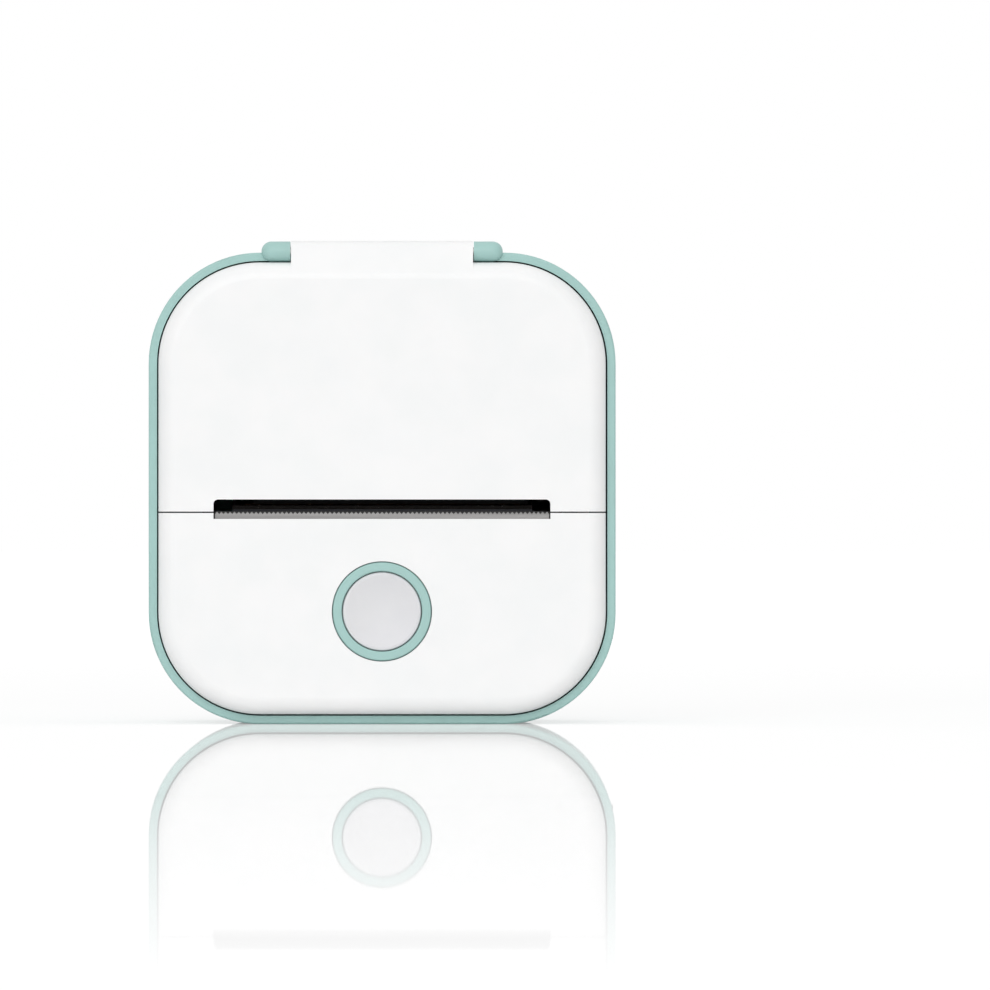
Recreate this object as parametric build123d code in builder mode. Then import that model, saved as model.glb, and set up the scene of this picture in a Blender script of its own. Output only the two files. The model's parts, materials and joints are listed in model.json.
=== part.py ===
# A pocket thermal printer that stands on its bottom edge. X runs to the right, the front faces -Y,
# Z is up, and the origin is under the middle of the case. All sizes are in millimetres.
import os
from math import acos, cos, pi, radians, sin, tan

from build123d import *

# Case: a mint rear shell, and a white front that stands proud of its rim
CASE_WIDTH = 84.0
CASE_HEIGHT = 84.8
CASE_DEPTH = 42.0
CORNER_RADIUS = 20.0
SHELL_WALL = 1.5
BACK_WALL = 2.0
BACK_ROUND = 3.5
RIM_ROUND = 0.4
FACE_PROUD = 4.0
FACE_WALL = 1.8
FACE_SIDE_WALL = 1.6
FACE_ROUND = 3.0
RIM_GAP = 0.3
PARTING_HEIGHT = 38.1
PARTING_GAP = 0.25
LID_TONGUE = 2.0
PANEL_TONGUE = 4.0

# Lid hinge on the top edge
HINGE_RISE = 0.2
KNUCKLE_RADIUS = 1.8
KNUCKLE_LENGTH = 5.2
BARREL_RADIUS = 1.9
BARREL_LENGTH = 32.7
BARREL_SIDE_GAP = 0.15
BARREL_NOTCH_GAP = 0.3
HINGE_PIN_RADIUS = 0.75
PIN_SEAT_CLEARANCE = 0.02
RUNNING_CLEARANCE = 0.05

# Paper slot and tear bar
SLOT_SIDE_GAP = 0.35
SLOT_RISE = 2.3
SLOT_DROP = 1.2
SLOT_ROUND = 0.8
TEAR_BAR_SIDE_GAP = 0.22
TEAR_BAR_THICKNESS = 0.8
TEAR_TIP_RISE = 0.1
TOOTH_PITCH = 0.78
TOOTH_DEPTH = 0.45
TEAR_BAR_DROP = 3.0

# Button
BUTTON_HEIGHT = 20.3
BEZEL_RADIUS = 8.85
BEZEL_INNER_RADIUS = 7.2
BEZEL_FLANGE = 1.35
BEZEL_FLANGE_THICKNESS = 1.2
BUTTON_GAP = 0.15
BUTTON_RECESS = 0.35
BUTTON_DISH_DEPTH = 0.7
BUTTON_FLANGE_THICKNESS = 0.8
BUTTON_REST_GAP = 0.1
BUTTON_EDGE_ROUND = 0.3
PLUNGER_RADIUS = 1.75
PLUNGER_LENGTH = 1.9
SWITCH_SIZE = 6.0
SWITCH_HEIGHT = 3.4
SWITCH_LIFT = 1.3
SWITCH_BORE_DEPTH = 1.3
BUTTON_BOARD_WIDTH = 34.0
BUTTON_BOARD_HEIGHT = 14.0
BUTTON_POST_X = 14.0

# Platen roller, carried by the lid
PLATEN_BACK = 7.5
PLATEN_RISE = 5.9
PLATEN_RADIUS = 4.4
PLATEN_END_GAP = 3.5
PLATEN_SHIFT = 1.5
SHAFT_RADIUS = 1.5
BUSH_RADIUS = 2.75
ARM_PLATE_GAP = 0.9
ARM_THICKNESS = 1.5
ARM_WALL = 1.0
ARM_TOP_WALL = 3.2
LID_FRAME_THICKNESS = 1.0
LID_FRAME_RISE = 6.0
LID_FRAME_DROP = 2.8

# Mechanism frame and gears
SIDE_ROOM = 11.4
PLATE_THICKNESS = 1.8
NOTCH_CLEARANCE = 0.3
FRAME_FRONT = 5.8
FRAME_DEPTH = 20.7
FRAME_DROP = 6.1
FRAME_RISE = 4.3
FRAME_WALL = 1.2
FRAME_LIP_RISE = 0.2
EAR_REACH = 4.0
EAR_DROP = 3.7
EAR_RADIUS = 2.0
GEAR_MODULE = 0.4
PRESSURE_ANGLE = radians(25)
ADDENDUM = 0.8
DEDENDUM = 1.0
GEAR_BACKLASH = 0.05
MESH_CLEARANCE = 0.05
FLANK_POINTS = 4
PLATEN_TEETH = 24
IDLER_SMALL_TEETH = 14
IDLER_LARGE_TEETH = 36
MOTOR_TEETH = 10
GEAR_SIDE_GAP = 0.5
GEAR_FACE = 2.0
WHEEL_GAP = 0.35
MOTOR_ANGLE = radians(-55)
MOTOR_RADIUS = 5.0
MOTOR_LENGTH = 12.0
MOTOR_SHAFT_RADIUS = 0.6
MOTOR_SHAFT_INSET = 3.5
MOTOR_EDGE = 0.6
IDLER_PIN_RADIUS = 0.75

# Thermal print head under the platen
HEAD_TILT = radians(15)
HEAD_GAP = 0.15
HEAD_END_GAP = 1.2
HEAD_LEAD = 1.2
HEAD_LENGTH = 7.2
CERAMIC_THICKNESS = 0.7
HEATSINK_DROP = 7.8
HEAD_PIVOT_BACK = 13.6
HEAD_PIVOT_DROP = 6.6
HEAD_PIN_RADIUS = 0.6
SPRING_RADIUS = 1.6
SPRING_WIRE = 0.4
SPRING_X = 18.0
SPRING_Y_BACK = 9.6
SEAT_GAP = 0.05

# Paper bay
BAY_FRONT_ROOM = 4.7
BAY_BACK_GAP = 0.3
BAY_RISE = 18.0
BAY_PLATE_GAP = 1.1
BAY_WALL = 1.2
BAY_SIDE_WALL = 0.9
BAY_TOP_ROOM = 5.2
BAY_LIP_BACK = 5.5
BAY_SIDE_FRONT = 0.5
BAY_SIDE_RISE = 8.0
BAY_EAR_Y = 0.0
BAY_EAR_REACH = 5.5
BAY_EAR_DROP = 16.8
BAY_EAR_RADIUS = 3.0
SENSOR_SIZE = (4.0, 3.0, 1.4)
SENSOR_BACK = 3.5

# Boards, battery and socket
BOARD_BACK_ROOM = 15.0
BOARD_THICKNESS = 1.2
BOARD_POST_GAP = 0.5
BOARD_BOTTOM = 4.0
BOARD_FRAME_GAP = 2.0
TAB_WALL_GAP = 1.1
SOCKET_HEIGHT = 19.5
SOCKET_WIDTH = 8.94
SOCKET_THICKNESS = 3.26
SOCKET_MOUTH = (8.34, 2.56)
SOCKET_DEPTH = 7.3
SOCKET_TONGUE = (6.7, 0.7)
SOCKET_FLOOR = 1.2
SOCKET_CLEARANCE = 0.3
TAB_MARGIN = 0.1
BATTERY_THICKNESS = 10.0
BATTERY_SIDE_ROOM = 9.5
BATTERY_BOTTOM = 4.5
BATTERY_TOP_ROOM = 0.5
BATTERY_EDGE = 1.5
LEAD_RADIUS = 0.5
LEAD_BEND = 2.5
LEAD_HEIGHTS = (20.0, 22.0)
PLUG_REACH = 5.5
PLUG_SIZE = (5.0, 3.2, 5.0)
RIBBON_WIDTH = 12.0
RIBBON_THICKNESS = 0.3
RIBBON_BACK = 1.6
RIBBON_DROP = 3.6
RIBBON_BOARD_DROP = 4.5
RIBBON_BEND = 2.5
RIBBON_SOCKET_SIZE = (15.0, 1.8, 3.0)
RADIO_PLACE = (12.0, 10.0)
RADIO_SIZE = (12.0, 9.0)
RADIO_THICKNESS = 1.8
# Each chip has its place on the board, its two sides and its thickness
CHIPS = (
    ((-12.0, 15.0), (7.0, 7.0), 0.9),
    ((-21.0, 14.0), (5.0, 4.0), 1.5),
    ((2.0, 12.0), (4.0, 5.0), 1.5),
    ((20.0, 19.0), (3.0, 3.0), 0.8),
    ((-20.0, 23.0), (4.0, 4.0), 1.8),
)

# Screws
SCREW_RADIUS = 1.0
SCREW_HEAD_RADIUS = 1.9
SCREW_HEAD_HEIGHT = 1.4
SCREW_THREAD_CLEARANCE = 0.02
SCREW_DRIVE_RADIUS = 0.75
SCREW_DRIVE_DEPTH = 0.7
SMALL_SCREW_RADIUS = 0.7
SMALL_HEAD_RADIUS = 1.3
SMALL_HEAD_HEIGHT = 0.9
HEAD_RECESS_CLEARANCE = 0.4
POST_RADIUS = 3.0
LOW_POST_ROOM = 10.0
LOW_POST_HEIGHT = 12.0
HIGH_POST_ROOM = 8.0
HIGH_POST_DROP = 2.0
POST_JOINT_BACK = 11.0
POST_FLOOR = 5.0
CASE_SCREW_LENGTH = 10.0
BOARD_POST_INSET = 2.5
BOARD_POST_RISE = 3.0
BOARD_POST_RADIUS = 2.0
SMALL_SCREW_LENGTH = 4.0
THROUGH_CLEARANCE = 0.15

# Places that follow from the sizes above
FRONT_Y = -CASE_DEPTH / 2
BACK_Y = CASE_DEPTH / 2
RIM_Y = FRONT_Y + FACE_PROUD
SKIN_Y = FRONT_Y + FACE_WALL
BACK_INNER_Y = BACK_Y - BACK_WALL
FACE_INSET = SHELL_WALL + RIM_GAP
HINGE_Y = RIM_Y
HINGE_Z = CASE_HEIGHT + HINGE_RISE
KNUCKLE_INNER = BARREL_LENGTH / 2 + BARREL_SIDE_GAP
KNUCKLE_OUTER = KNUCKLE_INNER + KNUCKLE_LENGTH
PIN_HALF = KNUCKLE_OUTER - KNUCKLE_RADIUS * 0.8
PLATEN_Y = FRONT_Y + PLATEN_BACK
PLATEN_HEIGHT = PARTING_HEIGHT + PLATEN_RISE
FRAME_Y = FRONT_Y + FRAME_FRONT
PLATE_INNER = CASE_WIDTH / 2 - SIDE_ROOM
PLATE_OUTER = PLATE_INNER + PLATE_THICKNESS
ARM_OUTER = PLATE_INNER - ARM_PLATE_GAP
ARM_INNER = ARM_OUTER - ARM_THICKNESS
SLOT_WIDTH = 2 * (PLATE_INNER - SLOT_SIDE_GAP)
SLOT_TOP = PARTING_HEIGHT + SLOT_RISE
SLOT_BOTTOM = PARTING_HEIGHT - SLOT_DROP
TEAR_BAR_WIDTH = SLOT_WIDTH - 2 * TEAR_BAR_SIDE_GAP
TEAR_TIP_HEIGHT = PARTING_HEIGHT + TEAR_TIP_RISE
PLATEN_LENGTH = 2 * (ARM_INNER - PLATEN_END_GAP)
LID_FRAME_TOP = PLATEN_HEIGHT + LID_FRAME_RISE
LID_FRAME_BOTTOM = PLATEN_HEIGHT - LID_FRAME_DROP
FRAME_FLOOR = PARTING_HEIGHT - FRAME_DROP
FRAME_TOP = PLATEN_HEIGHT + FRAME_RISE
FRAME_LIP_HEIGHT = PARTING_HEIGHT + FRAME_LIP_RISE
EAR_X = PLATE_OUTER + EAR_REACH
EAR_HEIGHT = PARTING_HEIGHT - EAR_DROP
GEAR_X = PLATE_OUTER + GEAR_SIDE_GAP
WHEEL_X = GEAR_X + GEAR_FACE + WHEEL_GAP
IDLER_Y = PLATEN_Y + GEAR_MODULE * (PLATEN_TEETH + IDLER_SMALL_TEETH) / 2 + MESH_CLEARANCE
MOTOR_REACH = GEAR_MODULE * (IDLER_LARGE_TEETH + MOTOR_TEETH) / 2 + MESH_CLEARANCE
MOTOR_Y = IDLER_Y + MOTOR_REACH * cos(MOTOR_ANGLE)
MOTOR_Z = PLATEN_HEIGHT + MOTOR_REACH * sin(MOTOR_ANGLE)
HEAD_PIN_Y = FRONT_Y + HEAD_PIVOT_BACK
HEAD_PIVOT_HEIGHT = PLATEN_HEIGHT - HEAD_PIVOT_DROP
HEAD_WIDTH = 2 * (ARM_INNER - HEAD_END_GAP)
HEATSINK_BOTTOM = PLATEN_HEIGHT - HEATSINK_DROP
BAY_HALF = PLATE_INNER - BAY_PLATE_GAP
BAY_WIDTH = 2 * BAY_HALF
BAY_RADIUS = (BACK_INNER_Y - BAY_BACK_GAP - BAY_WALL - SKIN_Y - BAY_FRONT_ROOM) / 2
BAY_Y = SKIN_Y + BAY_FRONT_ROOM + BAY_RADIUS
BAY_HEIGHT = PLATEN_HEIGHT + BAY_RISE
BAY_CEILING = CASE_HEIGHT - BAY_TOP_ROOM
BAY_LIP_Y = PLATEN_Y + BAY_LIP_BACK
BAY_SIDE_Y = PLATEN_Y - BAY_SIDE_FRONT
BAY_SIDE_BOTTOM = PLATEN_HEIGHT + BAY_SIDE_RISE
BAY_EAR_X = BAY_HALF + BAY_EAR_REACH
BAY_EAR_HEIGHT = CASE_HEIGHT - BAY_EAR_DROP
BAY_OUTER = BAY_RADIUS + BAY_WALL
SENSOR_Y = BAY_LIP_Y + SENSOR_BACK
SENSOR_REACH = SENSOR_Y + SENSOR_SIZE[1] / 2 - BAY_Y
SENSOR_TOP = BAY_HEIGHT - (BAY_OUTER**2 - SENSOR_REACH**2) ** 0.5 - SEAT_GAP
BEZEL_BACK_Y = SKIN_Y + BEZEL_FLANGE_THICKNESS
CAP_FRONT_Y = FRONT_Y + BUTTON_RECESS
CAP_FLANGE_Y = BEZEL_BACK_Y + BUTTON_REST_GAP
CAP_BACK_Y = CAP_FLANGE_Y + BUTTON_FLANGE_THICKNESS
SWITCH_FRONT_Y = CAP_BACK_Y + SWITCH_LIFT
SWITCH_BACK_Y = SWITCH_FRONT_Y + SWITCH_HEIGHT
POST_JOINT_Y = FRONT_Y + POST_JOINT_BACK
BOARD_Y = BACK_INNER_Y - BOARD_BACK_ROOM
BOARD_BACK_Y = BOARD_Y + BOARD_THICKNESS
BOARD_TOP = FRAME_FLOOR - BOARD_FRAME_GAP
LOW_POST_X = CASE_WIDTH / 2 - LOW_POST_ROOM
HIGH_POST_X = CASE_WIDTH / 2 - HIGH_POST_ROOM
CASE_POSTS = (
    (-LOW_POST_X, LOW_POST_HEIGHT),
    (LOW_POST_X, LOW_POST_HEIGHT),
    (-HIGH_POST_X, BOARD_TOP - HIGH_POST_DROP),
    (HIGH_POST_X, BOARD_TOP - HIGH_POST_DROP),
)
BOARD_HALF_WIDTH = LOW_POST_X - POST_RADIUS - BOARD_POST_GAP
BOARD_POST_X = BOARD_HALF_WIDTH - BOARD_POST_INSET
BOARD_POSTS = (
    (-BOARD_POST_X, BOARD_BOTTOM + BOARD_POST_RISE),
    (BOARD_POST_X, BOARD_BOTTOM + BOARD_POST_RISE),
    (-BOARD_POST_X, BOARD_TOP - BOARD_POST_RISE),
    (BOARD_POST_X, BOARD_TOP - BOARD_POST_RISE),
)
TAB_END = CASE_WIDTH / 2 - SHELL_WALL - TAB_WALL_GAP
BATTERY_HALF_WIDTH = BOARD_HALF_WIDTH - BATTERY_SIDE_ROOM
BATTERY_HEIGHT = BOARD_TOP - BATTERY_TOP_ROOM - BATTERY_BOTTOM
LEAD_Y = BACK_INNER_Y - BATTERY_THICKNESS / 2
PLUG_X = -BATTERY_HALF_WIDTH - PLUG_REACH
RIBBON_Y = HEAD_PIN_Y + RIBBON_BACK
RIBBON_TOP = PLATEN_HEIGHT - RIBBON_DROP
RIBBON_HEIGHT = BOARD_TOP - RIBBON_BOARD_DROP
FAR = CASE_WIDTH + CASE_HEIGHT

os.makedirs("parts", exist_ok=True)


def at_y(y):
    """The upright plane across the case at a depth y, facing the front, with X right and Z up."""
    return Plane.XZ.offset(-y)


def at_x(x):
    """The upright plane from front to back at a side place x, with Y right and Z up."""
    return Plane.YZ.offset(x)


def case_outline(inset):
    """The rounded square of the case, drawn in by an inset, in the plane of the open sketch."""
    with Locations((0, CASE_HEIGHT / 2)):
        RectangleRounded(CASE_WIDTH - 2 * inset, CASE_HEIGHT - 2 * inset, CORNER_RADIUS - inset)


def tilted(along, below):
    """A (y, z) point of the print head: along its face from the contact line, and below the face."""
    contact_y = PLATEN_Y + PLATEN_RADIUS * sin(HEAD_TILT)
    contact_z = PLATEN_HEIGHT - PLATEN_RADIUS * cos(HEAD_TILT)
    y = contact_y + along * cos(HEAD_TILT) + below * sin(HEAD_TILT)
    z = contact_z + along * sin(HEAD_TILT) - below * cos(HEAD_TILT)
    return (y, z)


def gear_outline(teeth, centre, phase):
    """Points round an involute gear, with a tooth centred at the angle phase from +Y towards +Z."""
    pitch_radius = GEAR_MODULE * teeth / 2
    base_radius = pitch_radius * cos(PRESSURE_ANGLE)
    tip_radius = pitch_radius + ADDENDUM * GEAR_MODULE
    root_radius = pitch_radius - DEDENDUM * GEAR_MODULE
    start_radius = max(base_radius, root_radius)
    half_pitch = pi / (2 * teeth) - GEAR_BACKLASH / (2 * pitch_radius)
    flank = []
    for step in range(FLANK_POINTS + 1):
        radius = start_radius + (tip_radius - start_radius) * step / FLANK_POINTS
        angle = acos(base_radius / radius)
        turned = half_pitch + tan(PRESSURE_ANGLE) - PRESSURE_ANGLE - (tan(angle) - angle)
        flank.append((radius, turned))
    if base_radius > root_radius:
        flank.insert(0, (root_radius, flank[0][1]))
    points = []
    for tooth in range(teeth):
        middle = phase + 2 * pi * tooth / teeth
        side = [(radius, middle - turned) for radius, turned in flank]
        side += [(radius, middle + turned) for radius, turned in reversed(flank)]
        points += [(centre[0] + r * cos(a), centre[1] + r * sin(a)) for r, a in side]
    return points


def make_screws(places, head_y, radius, length, head_radius, head_height, toward):
    """Screws whose heads seat at head_y; toward is 1 where they point to the back, -1 to the front."""
    with BuildPart() as screws:
        for place in places:
            with BuildSketch(at_y(head_y)):
                with Locations(place):
                    Circle(radius)
            extrude(amount=-toward * length)
            with BuildSketch(at_y(head_y)):
                with Locations(place):
                    Circle(head_radius)
            extrude(amount=toward * head_height)
            with BuildSketch(at_y(head_y - toward * head_height)):
                with Locations(place):
                    RegularPolygon(SCREW_DRIVE_RADIUS, 6)
            extrude(amount=-toward * min(SCREW_DRIVE_DEPTH, head_height / 2), mode=Mode.SUBTRACT)
    return screws


# Rear shell with its two hinge knuckles, posts and socket opening
SOCKET_Y = BOARD_Y - SOCKET_THICKNESS / 2
with BuildPart() as rear_shell:
    with BuildSketch(at_y(BACK_Y)):
        case_outline(0)
    extrude(amount=BACK_Y - RIM_Y)
    fillet(rear_shell.faces().sort_by(Axis.Y)[-1].edges(), BACK_ROUND)
    with BuildSketch(at_y(BACK_INNER_Y)):
        case_outline(SHELL_WALL)
    extrude(amount=FAR, mode=Mode.SUBTRACT)
    rim_face = rear_shell.faces().sort_by(Axis.Y)[0]
    fillet(rim_face.outer_wire().edges(), RIM_ROUND)
    # The knuckles stand on the rim, with domed outer ends
    hinge_plane = Plane(origin=(0, HINGE_Y, HINGE_Z), x_dir=(1, 0, 0), z_dir=(0, -1, 0))
    for side in (-1, 1):
        with BuildSketch(hinge_plane):
            with BuildLine():
                dome_start = KNUCKLE_OUTER - KNUCKLE_RADIUS
                corner = KNUCKLE_RADIUS * cos(pi / 4)
                Polyline(
                    (side * KNUCKLE_OUTER, 0),
                    (side * KNUCKLE_INNER, 0),
                    (side * KNUCKLE_INNER, KNUCKLE_RADIUS),
                    (side * dome_start, KNUCKLE_RADIUS),
                )
                ThreePointArc(
                    (side * dome_start, KNUCKLE_RADIUS),
                    (side * (dome_start + corner), corner),
                    (side * KNUCKLE_OUTER, 0),
                )
            make_face()
        revolve(axis=Axis((0, HINGE_Y, HINGE_Z), (1, 0, 0)))
    # The notch in the top wall that the lid's barrel turns in
    with BuildSketch(at_y(HINGE_Y + BARREL_RADIUS + BARREL_NOTCH_GAP)):
        with Locations((0, CASE_HEIGHT)):
            Rectangle(2 * KNUCKLE_INNER, 4 * SHELL_WALL)
    extrude(amount=FAR, mode=Mode.SUBTRACT)
    with BuildSketch(at_x(-PIN_HALF)):
        with Locations((HINGE_Y, HINGE_Z)):
            Circle(HINGE_PIN_RADIUS + PIN_SEAT_CLEARANCE)
    extrude(amount=2 * PIN_HALF, mode=Mode.SUBTRACT)
    # Posts for the long case screws, the main board and the paper bay's ears
    with BuildSketch(at_y(BACK_INNER_Y)):
        with Locations(*CASE_POSTS):
            Circle(POST_RADIUS)
    extrude(amount=BACK_INNER_Y - POST_JOINT_Y)
    with BuildSketch(at_y(BACK_INNER_Y)):
        with Locations(*BOARD_POSTS):
            Circle(BOARD_POST_RADIUS)
    extrude(amount=BACK_INNER_Y - BOARD_BACK_Y)
    with BuildSketch(at_y(BACK_INNER_Y)):
        with Locations((-BAY_EAR_X, BAY_EAR_HEIGHT), (BAY_EAR_X, BAY_EAR_HEIGHT)):
            Circle(BAY_EAR_RADIUS)
    extrude(amount=BACK_INNER_Y - BAY_EAR_Y)
    with BuildSketch(at_y(BACK_Y)):
        with Locations(*CASE_POSTS):
            Circle(SCREW_HEAD_RADIUS + HEAD_RECESS_CLEARANCE)
    extrude(amount=BACK_Y - POST_JOINT_Y - POST_FLOOR, mode=Mode.SUBTRACT)
    with BuildSketch(at_y(BACK_Y)):
        with Locations(*CASE_POSTS):
            Circle(SCREW_RADIUS + THROUGH_CLEARANCE)
    extrude(amount=BACK_Y - POST_JOINT_Y, mode=Mode.SUBTRACT)
    with BuildSketch(at_y(BOARD_BACK_Y)):
        with Locations(*BOARD_POSTS):
            Circle(SMALL_SCREW_RADIUS + SCREW_THREAD_CLEARANCE)
    extrude(amount=-SMALL_SCREW_LENGTH, mode=Mode.SUBTRACT)
    with BuildSketch(at_y(BAY_EAR_Y)):
        with Locations((-BAY_EAR_X, BAY_EAR_HEIGHT), (BAY_EAR_X, BAY_EAR_HEIGHT)):
            Circle(SCREW_RADIUS + SCREW_THREAD_CLEARANCE)
    extrude(amount=-CASE_SCREW_LENGTH, mode=Mode.SUBTRACT)
    # The opening for the charging socket in the right side
    with BuildSketch(at_x(CASE_WIDTH / 2)):
        with Locations((SOCKET_Y, SOCKET_HEIGHT)):
            SlotOverall(
                SOCKET_WIDTH + 2 * SOCKET_CLEARANCE,
                SOCKET_THICKNESS + 2 * SOCKET_CLEARANCE,
                rotation=90,
            )
    extrude(amount=-2 * SHELL_WALL, mode=Mode.SUBTRACT)
rear_shell.part.label = "rear_shell"
export_step(rear_shell.part, "parts/rear_shell.step")

# Hinge pin
with BuildPart() as hinge_pin:
    with BuildSketch(at_x(-PIN_HALF)):
        with Locations((HINGE_Y, HINGE_Z)):
            Circle(HINGE_PIN_RADIUS)
    extrude(amount=2 * PIN_HALF)
hinge_pin.part.label = "hinge_pin"
export_step(hinge_pin.part, "parts/hinge_pin.step")

# Front panel under the parting line, with the bosses that the screws bite into
with BuildPart() as front_panel:
    with BuildSketch(at_y(RIM_Y + PANEL_TONGUE)):
        case_outline(FACE_INSET)
    extrude(amount=RIM_Y + PANEL_TONGUE - FRONT_Y)
    fillet(front_panel.faces().sort_by(Axis.Y)[0].edges(), FACE_ROUND)
    with BuildSketch(at_y(RIM_Y + PANEL_TONGUE)):
        case_outline(FACE_INSET + FACE_SIDE_WALL)
    extrude(amount=RIM_Y + PANEL_TONGUE - SKIN_Y, mode=Mode.SUBTRACT)
    panel_top = PARTING_HEIGHT - PARTING_GAP / 2
    with BuildSketch(at_y(BACK_Y)):
        with Locations((0, panel_top)):
            Rectangle(FAR, FAR, align=(Align.CENTER, Align.MIN))
    extrude(amount=2 * CASE_DEPTH, mode=Mode.SUBTRACT)
    with BuildSketch(at_y(POST_JOINT_Y)):
        with Locations(*CASE_POSTS):
            Circle(POST_RADIUS)
    extrude(amount=POST_JOINT_Y - SKIN_Y)
    with BuildSketch(at_y(FRAME_Y)):
        with Locations((-EAR_X, EAR_HEIGHT), (EAR_X, EAR_HEIGHT)):
            Circle(EAR_RADIUS)
    extrude(amount=FRAME_Y - SKIN_Y)
    with BuildSketch(at_y(SWITCH_BACK_Y)):
        with Locations((-BUTTON_POST_X, BUTTON_HEIGHT), (BUTTON_POST_X, BUTTON_HEIGHT)):
            Circle(BOARD_POST_RADIUS)
    extrude(amount=SWITCH_BACK_Y - SKIN_Y)
    with BuildSketch(at_y(POST_JOINT_Y)):
        with Locations(*CASE_POSTS):
            Circle(SCREW_RADIUS + SCREW_THREAD_CLEARANCE)
    extrude(amount=CASE_SCREW_LENGTH - POST_FLOOR + SEAT_GAP, mode=Mode.SUBTRACT)
    with BuildSketch(at_y(FRAME_Y)):
        with Locations((-EAR_X, EAR_HEIGHT), (EAR_X, EAR_HEIGHT)):
            Circle(SMALL_SCREW_RADIUS + SCREW_THREAD_CLEARANCE)
    extrude(amount=SMALL_SCREW_LENGTH - FRAME_WALL + SEAT_GAP, mode=Mode.SUBTRACT)
    with BuildSketch(at_y(SWITCH_BACK_Y)):
        with Locations((-BUTTON_POST_X, BUTTON_HEIGHT), (BUTTON_POST_X, BUTTON_HEIGHT)):
            Circle(SMALL_SCREW_RADIUS + SCREW_THREAD_CLEARANCE)
    extrude(amount=SMALL_SCREW_LENGTH, mode=Mode.SUBTRACT)
    with BuildSketch(at_y(SKIN_Y)):
        with Locations((0, BUTTON_HEIGHT)):
            Circle(BEZEL_RADIUS + BUTTON_GAP)
    extrude(amount=FACE_WALL, mode=Mode.SUBTRACT)
    with BuildSketch(at_y(SKIN_Y)):
        with Locations((0, SLOT_BOTTOM)):
            Rectangle(SLOT_WIDTH, FACE_ROUND, align=(Align.CENTER, Align.MIN))
    extrude(amount=FACE_WALL, mode=Mode.SUBTRACT)
front_panel.part.label = "front_panel"
export_step(front_panel.part, "parts/front_panel.step")

# Tear bar: a stamped blade on the panel's back, its teeth showing in the slot
with BuildPart() as tear_bar:
    with BuildSketch(at_y(SKIN_Y + TEAR_BAR_THICKNESS)):
        with BuildLine():
            half_bar = TEAR_BAR_WIDTH / 2
            root_height = TEAR_TIP_HEIGHT - TOOTH_DEPTH
            tooth_count = round(TEAR_BAR_WIDTH / TOOTH_PITCH)
            pitch = TEAR_BAR_WIDTH / tooth_count
            edge = [(-half_bar, root_height)]
            for tooth in range(tooth_count):
                edge.append((-half_bar + (tooth + 0.5) * pitch, TEAR_TIP_HEIGHT))
                edge.append((-half_bar + (tooth + 1) * pitch, root_height))
            bar_bottom = SLOT_BOTTOM - TEAR_BAR_DROP
            Polyline(*edge, (half_bar, bar_bottom), (-half_bar, bar_bottom), close=True)
        make_face()
    extrude(amount=TEAR_BAR_THICKNESS)
tear_bar.part.label = "tear_bar"
export_step(tear_bar.part, "parts/tear_bar.step")

# Lid cover: the upper white shell, whose middle rolls over into the hinge barrel
with BuildPart() as lid_cover:
    with BuildSketch(at_y(RIM_Y + LID_TONGUE)):
        case_outline(FACE_INSET)
    extrude(amount=RIM_Y + LID_TONGUE - FRONT_Y)
    fillet(lid_cover.faces().sort_by(Axis.Y)[0].edges(), FACE_ROUND)
    with BuildSketch(at_y(RIM_Y + LID_TONGUE)):
        case_outline(FACE_INSET + FACE_SIDE_WALL)
    extrude(amount=RIM_Y + LID_TONGUE - SKIN_Y, mode=Mode.SUBTRACT)
    with BuildSketch(at_y(BACK_Y)):
        with Locations((0, PARTING_HEIGHT + PARTING_GAP / 2)):
            Rectangle(FAR, FAR, align=(Align.CENTER, Align.MAX))
    extrude(amount=2 * CASE_DEPTH, mode=Mode.SUBTRACT)
    # The roll-over is the line that touches both the edge rounding and the barrel
    edge_top = CASE_HEIGHT - FACE_INSET
    round_y = FRONT_Y + FACE_ROUND
    round_z = edge_top - FACE_ROUND
    rise = HINGE_Z - round_z
    reach = HINGE_Y - round_y
    span = (rise**2 + reach**2) ** 0.5
    lean = acos((FACE_ROUND - BARREL_RADIUS) / span)
    direction = acos(reach / span) + lean
    normal = (cos(direction), sin(direction))
    touch_round = (round_y + FACE_ROUND * normal[0], round_z + FACE_ROUND * normal[1])
    touch_barrel = (HINGE_Y + BARREL_RADIUS * normal[0], HINGE_Z + BARREL_RADIUS * normal[1])
    middle_angle = (pi + direction) / 2
    with BuildSketch(at_x(-BARREL_LENGTH / 2)):
        with BuildLine():
            ThreePointArc(
                (FRONT_Y, round_z),
                (
                    round_y + FACE_ROUND * cos(middle_angle),
                    round_z + FACE_ROUND * sin(middle_angle),
                ),
                touch_round,
            )
            Polyline(
                touch_round,
                touch_barrel,
                (HINGE_Y, HINGE_Z),
                (HINGE_Y, edge_top - FACE_SIDE_WALL),
                (SKIN_Y, round_z),
                (FRONT_Y, round_z),
            )
        make_face()
        with Locations((HINGE_Y, HINGE_Z)):
            Circle(BARREL_RADIUS)
    extrude(amount=BARREL_LENGTH)
    with BuildSketch(at_x(-PIN_HALF)):
        with Locations((HINGE_Y, HINGE_Z)):
            Circle(HINGE_PIN_RADIUS + RUNNING_CLEARANCE)
    extrude(amount=2 * PIN_HALF, mode=Mode.SUBTRACT)
    with BuildSketch(at_y(SKIN_Y)):
        with Locations((0, SLOT_TOP)):
            slot_face = Rectangle(SLOT_WIDTH, 2 * FACE_ROUND, align=(Align.CENTER, Align.MAX))
        fillet(slot_face.vertices().sort_by(Axis.Y)[-2:], SLOT_ROUND)
    extrude(amount=FACE_WALL, mode=Mode.SUBTRACT)
lid_cover.part.label = "lid_cover"
export_step(lid_cover.part, "parts/lid_cover.step")

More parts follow.
